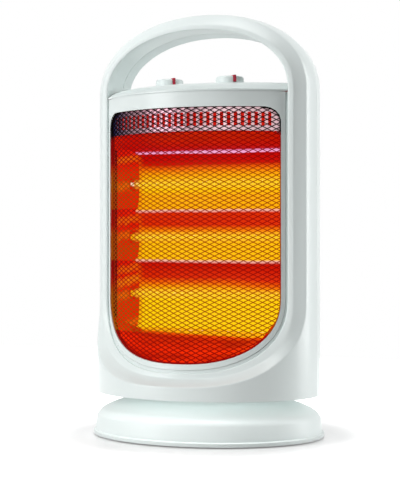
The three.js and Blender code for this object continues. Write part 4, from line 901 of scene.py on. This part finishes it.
# %% Guard cut and bowed
outline = [(along_bow(x), z) for x, z in window_outline(LAP)]
for (x, z), (next_x, next_z) in zip(outline, outline[1:] + outline[:1]):
    bmesh.ops.bisect_plane(bm, geom=bm.verts[:] + bm.edges[:] + bm.faces[:], plane_co=(x, 0, z),
                           plane_no=(-(next_z - z), 0, next_x - x), clear_outer=False, clear_inner=True)
print("guard after the cuts:", len(bm.faces), "faces")
for vert in bm.verts:
    turn = vert.co.x / BOW_RADIUS
    radius = BOW_RADIUS - GUARD_DEPTH - vert.co.y
    vert.co = Vector((radius * sin(turn), BOW_RADIUS - BOW_FRONT - radius * cos(turn), vert.co.z)) * MM
bmesh.ops.recalc_face_normals(bm, faces=bm.faces)
guard = piece_from(bm, "guard_mesh_finished", 60)
thickened(guard, GUARD_SHEET)
adopt(guard, "column", guard_metal.material, "guard_wire", "guard_mesh")

# %% [markdown]
# ## The hem of the guard
# The raw edge of such a sheet is sharp, so it is folded into a narrow hem that also stops the strands
# from ending in the air. Two outlines of the window, one larger and one smaller, are bridged and get
# the thickness of a fold.

# %% Hem of the guard
bm = bmesh.new()
rings = []
for grow in (LAP, -HEM):
    rings += loop_of(bm, [(x, bow(x) + GUARD_DEPTH, z) for x, z in window_outline(grow)])
bmesh.ops.bridge_loops(bm, edges=rings)
bmesh.ops.recalc_face_normals(bm, faces=bm.faces)
hem = piece_from(bm, "guard_hem", 60)
thickened(hem, HEM_FOLD)
adopt(hem, "column", guard_metal.material, "guard_wire", "guard_mesh")
print("hem", HEM + LAP, "mm wide")

# %% [markdown]
# ## The coils
# Each tube holds a coil of wire on its axis. A curve with a bevel would do as well, but a spin is
# closer to how wire is wound: a ring of five points, spun round the axis while it moves along it, is a
# helix. A straight lead runs through it into both ceramic ends.

# %% Coils
COIL_RADIUS, COIL_WIRE, COIL_HALF, COIL_TURNS, STEPS_A_TURN = 0.0017, 0.00028, 0.082, 96, 10
LEAD_RADIUS, LEAD_LENGTH = 0.0005, 0.2
tube_depth = middle_of("tube_lower", 1)
ring_centre = (COIL_RADIUS, 0, -COIL_HALF)
steps = COIL_TURNS * STEPS_A_TURN
for level, height in zip(LEVELS, tube_heights):
    bm = bmesh.new()
    ring = bmesh.ops.create_circle(bm, segments=5, radius=COIL_WIRE)
    bmesh.ops.translate(bm, verts=ring["verts"], vec=ring_centre)
    bmesh.ops.rotate(bm, verts=ring["verts"], cent=ring_centre, matrix=Matrix.Rotation(pi / 2, 3, "X"))
    bmesh.ops.spin(bm, geom=bm.edges[:], cent=(0, 0, 0), axis=(0, 0, 1),
                   dvec=(0, 0, 2 * COIL_HALF / steps), angle=2 * pi * COIL_TURNS, steps=steps,
                   use_merge=False, use_duplicate=False)
    bmesh.ops.create_cone(bm, cap_ends=True, segments=8, radius1=LEAD_RADIUS, radius2=LEAD_RADIUS,
                          depth=LEAD_LENGTH)
    bmesh.ops.rotate(bm, verts=bm.verts, cent=(0, 0, 0), matrix=Matrix.Rotation(pi / 2, 3, "Y"))
    bmesh.ops.translate(bm, verts=bm.verts, vec=(0, tube_depth, height))
    bmesh.ops.recalc_face_normals(bm, faces=bm.faces)
    adopt(piece_from(bm, "coil_" + level, 80), "column", coil_glow, "glowing_coil", "filament_" + level)
print("coil turns:", COIL_TURNS)

# %% [markdown]
# ## Thin sheets that close the window
# Inside a heater, folded tabs close the lines between its sheets, so that no bare housing shows. Here
# each is a grid of one by one that is stood upright and then either stretched flat or bent to the bow
# of the front. One helper each for those steps makes all of the sheets below.

# %% Helpers for thin sheets
def upright_grid(columns, rows, axis="X"):
    bm = bmesh.new()
    bmesh.ops.create_grid(bm, x_segments=columns, y_segments=rows, size=0.5)
    bmesh.ops.rotate(bm, verts=bm.verts, cent=(0, 0, 0), matrix=Matrix.Rotation(pi / 2, 3, axis))
    return bm


def flat(bm, size, middle):
    """Stretches a grid to its size and moves it to its place, in metres."""
    bmesh.ops.scale(bm, verts=bm.verts, vec=size)
    bmesh.ops.translate(bm, verts=bm.verts, vec=middle)
    return bm


def bowed(bm, width, height, depth, middle):
    """Bends a grid to the bow, `depth` behind it and round the height `middle`, in millimetres."""
    for vert in bm.verts:
        x = vert.co.x * width
        vert.co = Vector((x, bow(x) + depth, middle + vert.co.z * height)) * MM
    return bm


def thin_sheet(bm, name, thickness, look, slot, offset=0):
    bmesh.ops.recalc_face_normals(bm, faces=bm.faces)
    piece = piece_from(bm, name)
    thickened(piece, thickness, offset)
    return adopt(piece, "column", look, slot)


SIDES = [("left", -1), ("right", 1)]
THIN, STIFF = 0.0005, 0.0008
print("thin sheets", THIN, "m, stiff ones", STIFF, "m")

# %% Strips behind the ends of the reflector
STRIP_WIDTH, STRIP_Y, STRIP_FOOT, LIP_STRIP, CLEAR = 0.1738, 0.0099, 0.0992, 0.0026, 0.0001
# The strip above gives off the painted light of the reflector's lit top lip, the one below that of the
# window's floor.
lip_glow = glowing("lip_glow", mottled((206, 70, 130), LIP_WHITE, 220, 2, (0.3, 1, 1)))
for name, low, high, look in (("strip_below", STRIP_FOOT, LIPS[0] - CLEAR, floor_glow),
                              ("strip_above", LIPS[-1] + CLEAR, LIPS[-1] + LIP_STRIP, lip_glow)):
    bm = flat(upright_grid(12, 2), (STRIP_WIDTH, 1, high - low), (0, STRIP_Y, (low + high) / 2))
    thin_sheet(bm, name, THIN, look, "polished_sheet")
print("strips beside lips at", LIPS[0], LIPS[-1])

# %% Flaps behind the top corners of the panel
FLAP_SIZE = (0.0080, 1, 0.0088)
FLAP_X, FLAP_Y, FLAP_Z = 0.0933, bow(95.6) * MM + 0.0040, 0.3308
for name, side in SIDES:
    bm = flat(upright_grid(2, 4), FLAP_SIZE, (side * FLAP_X, FLAP_Y, FLAP_Z))
    thin_sheet(bm, "panel_flap_" + name, STIFF, shell_white, "white_shell")
print("flaps at y", round(FLAP_Y, 4))

# %% Strip behind the joint between panel and deck
JOINT_WIDTH, JOINT_HEIGHT, JOINT_DEPTH, JOINT_Z = 184, 5.2, 3.4, 333.6
bm = bowed(upright_grid(60, 1), JOINT_WIDTH, JOINT_HEIGHT, JOINT_DEPTH, JOINT_Z)
thin_sheet(bm, "panel_joint_strip", THIN, shell_white, "white_shell")
print("joint strip up to", JOINT_Z + JOINT_HEIGHT / 2)

# %% Corner sheets beside the ceiling
CORNER_SIZE = (1, 0.038, 0.014)
CORNER_X, CORNER_Y, CORNER_Z = 0.0897, -0.0110, 0.2913
for name, side in SIDES:
    bm = flat(upright_grid(6, 2, "Y"), CORNER_SIZE, (side * CORNER_X, CORNER_Y, CORNER_Z))
    thin_sheet(bm, "ceiling_corner_" + name, THIN, ceiling_glow, "polished_sheet")
print("corner sheets at x", CORNER_X)

# %% [markdown]
# ## The baffle behind the strip
# Behind the slots hangs a thin sheet that gives off painted red light, standing in for the light of the
# tubes seen through them, so that the slots glow. It is another grid bent to the same bow as the strip,
# which keeps the glow as deep behind every slot.

# %% Baffle
BAFFLE_WIDTH, BAFFLE_HEIGHT, BAFFLE_DEPTH = 170, 19, 15
strip_middle = middle_of("vent_strip", 2) / MM
bm = bowed(upright_grid(30, 1), BAFFLE_WIDTH, BAFFLE_HEIGHT, BAFFLE_DEPTH, strip_middle)
thin_sheet(bm, "vent_baffle", STIFF, baffle_glow, "polished_sheet", -1)
print("baffle", BAFFLE_WIDTH, "mm wide")

# %% [markdown]
# ## Floor
# The heater stands on a plain white floor. A floor lit to pure white would need more light than the
# shells can take. So for the camera it adds its own light: only a little near the heater, where it
# keeps the real soft shadow and paints a round shadow about the base, and full white further out, where
# it meets the background.

# %% Floor
FLOOR_HALF, FLOOR_GLOW, SHADOW_FROM, SHADOW_TO = 0.9, 0.2, 0.126, 0.205
bm = bmesh.new()
bmesh.ops.create_grid(bm, x_segments=1, y_segments=1, size=FLOOR_HALF)
floor = piece_from(bm, "floor")
paper = Finish("floor_paper", Base_Color=(0.76, 0.76, 0.76, 1), Roughness=0.3, Emission_Strength=1.0)
away = paper.add("VectorMath", {"operation": "LENGTH"}, {0: paper.place()}, "Value")
# A painted soft shadow: less glow within SHADOW_FROM of the middle.
glow = paper.mix(paper.between(away, SHADOW_FROM, SHADOW_TO),
                 (FLOOR_GLOW, FLOOR_GLOW, FLOOR_GLOW, 1), (1, 1, 1, 1))
paper.set("Emission Color", paper.mix(paper.seen(), BLACK, glow))
floor.data.materials.append(paper.material)
print("floor half a side:", FLOOR_HALF)

# %% [markdown]
# ## Backdrop
# The background is white for the camera and for gloss, and gives hardly any light itself, so that the
# lamps alone model the shells. The world has a node tree too, so it can be a finish of its own kind.

# %% Backdrop
AMBIENT = 0.04


class Backdrop(Finish):
    def __init__(self, world):
        world.use_nodes = True
        self.tree = world.node_tree
        self.shader = self.tree.nodes["Background"]


studio = bpy.data.worlds.new("studio")
bpy.context.scene.world = studio
backdrop = Backdrop(studio)
backdrop.set("Color", (1, 1, 1, 1))
backdrop.set("Strength", AMBIENT + (1 - AMBIENT) * backdrop.seen())
print("backdrop white, ambient", AMBIENT)

# %% [markdown]
# ## Lamps
# Four soft lamps model the white shells. The key stands to the left of the front, and its partner on
# the right, a little behind the side, leaves the shade between them that rounds the column. A weak one
# near the camera lifts the front, and one overhead lights the handle, the deck and the floor.

# %% Lamps
def softbox(name, turn, height, distance, size, watts, aim=MIDDLE):
    """An area lamp, `turn` degrees round from the front, that points at `aim`."""
    lamp = bpy.data.lights.new(name, "AREA")
    lamp.shape = "RECTANGLE"
    lamp.size, lamp.size_y = size
    lamp.energy = watts
    holder = bpy.data.objects.new(name, lamp)
    turn = radians(turn)
    holder.location = (distance * sin(turn), -distance * cos(turn), height)
    holder.rotation_euler = (aim - holder.location).to_track_quat("-Z", "Y").to_euler()
    bpy.context.scene.collection.objects.link(holder)
    return holder


softbox("key", -40, 0.65, 1.5, (0.7, 1.4), 16)
softbox("front", 10, 0.55, 1.5, (0.7, 1.4), 1.8)
softbox("right", 120, 0.55, 1.5, (0.7, 1.4), 19)
softbox("top", -20, 1.7, 0.3, (0.9, 0.9), 12)
print("lamps:", len(bpy.data.lights))

# %% [markdown]
# ## A lamp for the base
# The domed top of the base lies in the column's shadow. A brighter lamp for all would bleach the
# column, so a small one over the base, linked to it alone, lifts it as a reflector card would.

# %% Base lamp
BASE_SLOPE = Vector((0.02, -0.085, 0.03))
lit = bpy.data.collections.new("lit_by_base_lamp")
lit.objects.link(bpy.data.objects["base_cover_finished"])
base_lamp = softbox("base_lamp", 14, 0.42, 0.16, (0.16, 0.06), 0.085, BASE_SLOPE)
base_lamp.data.spread = radians(60)
base_lamp.light_linking.receiver_collection = lit
base_lamp.light_linking.blocker_collection = lit
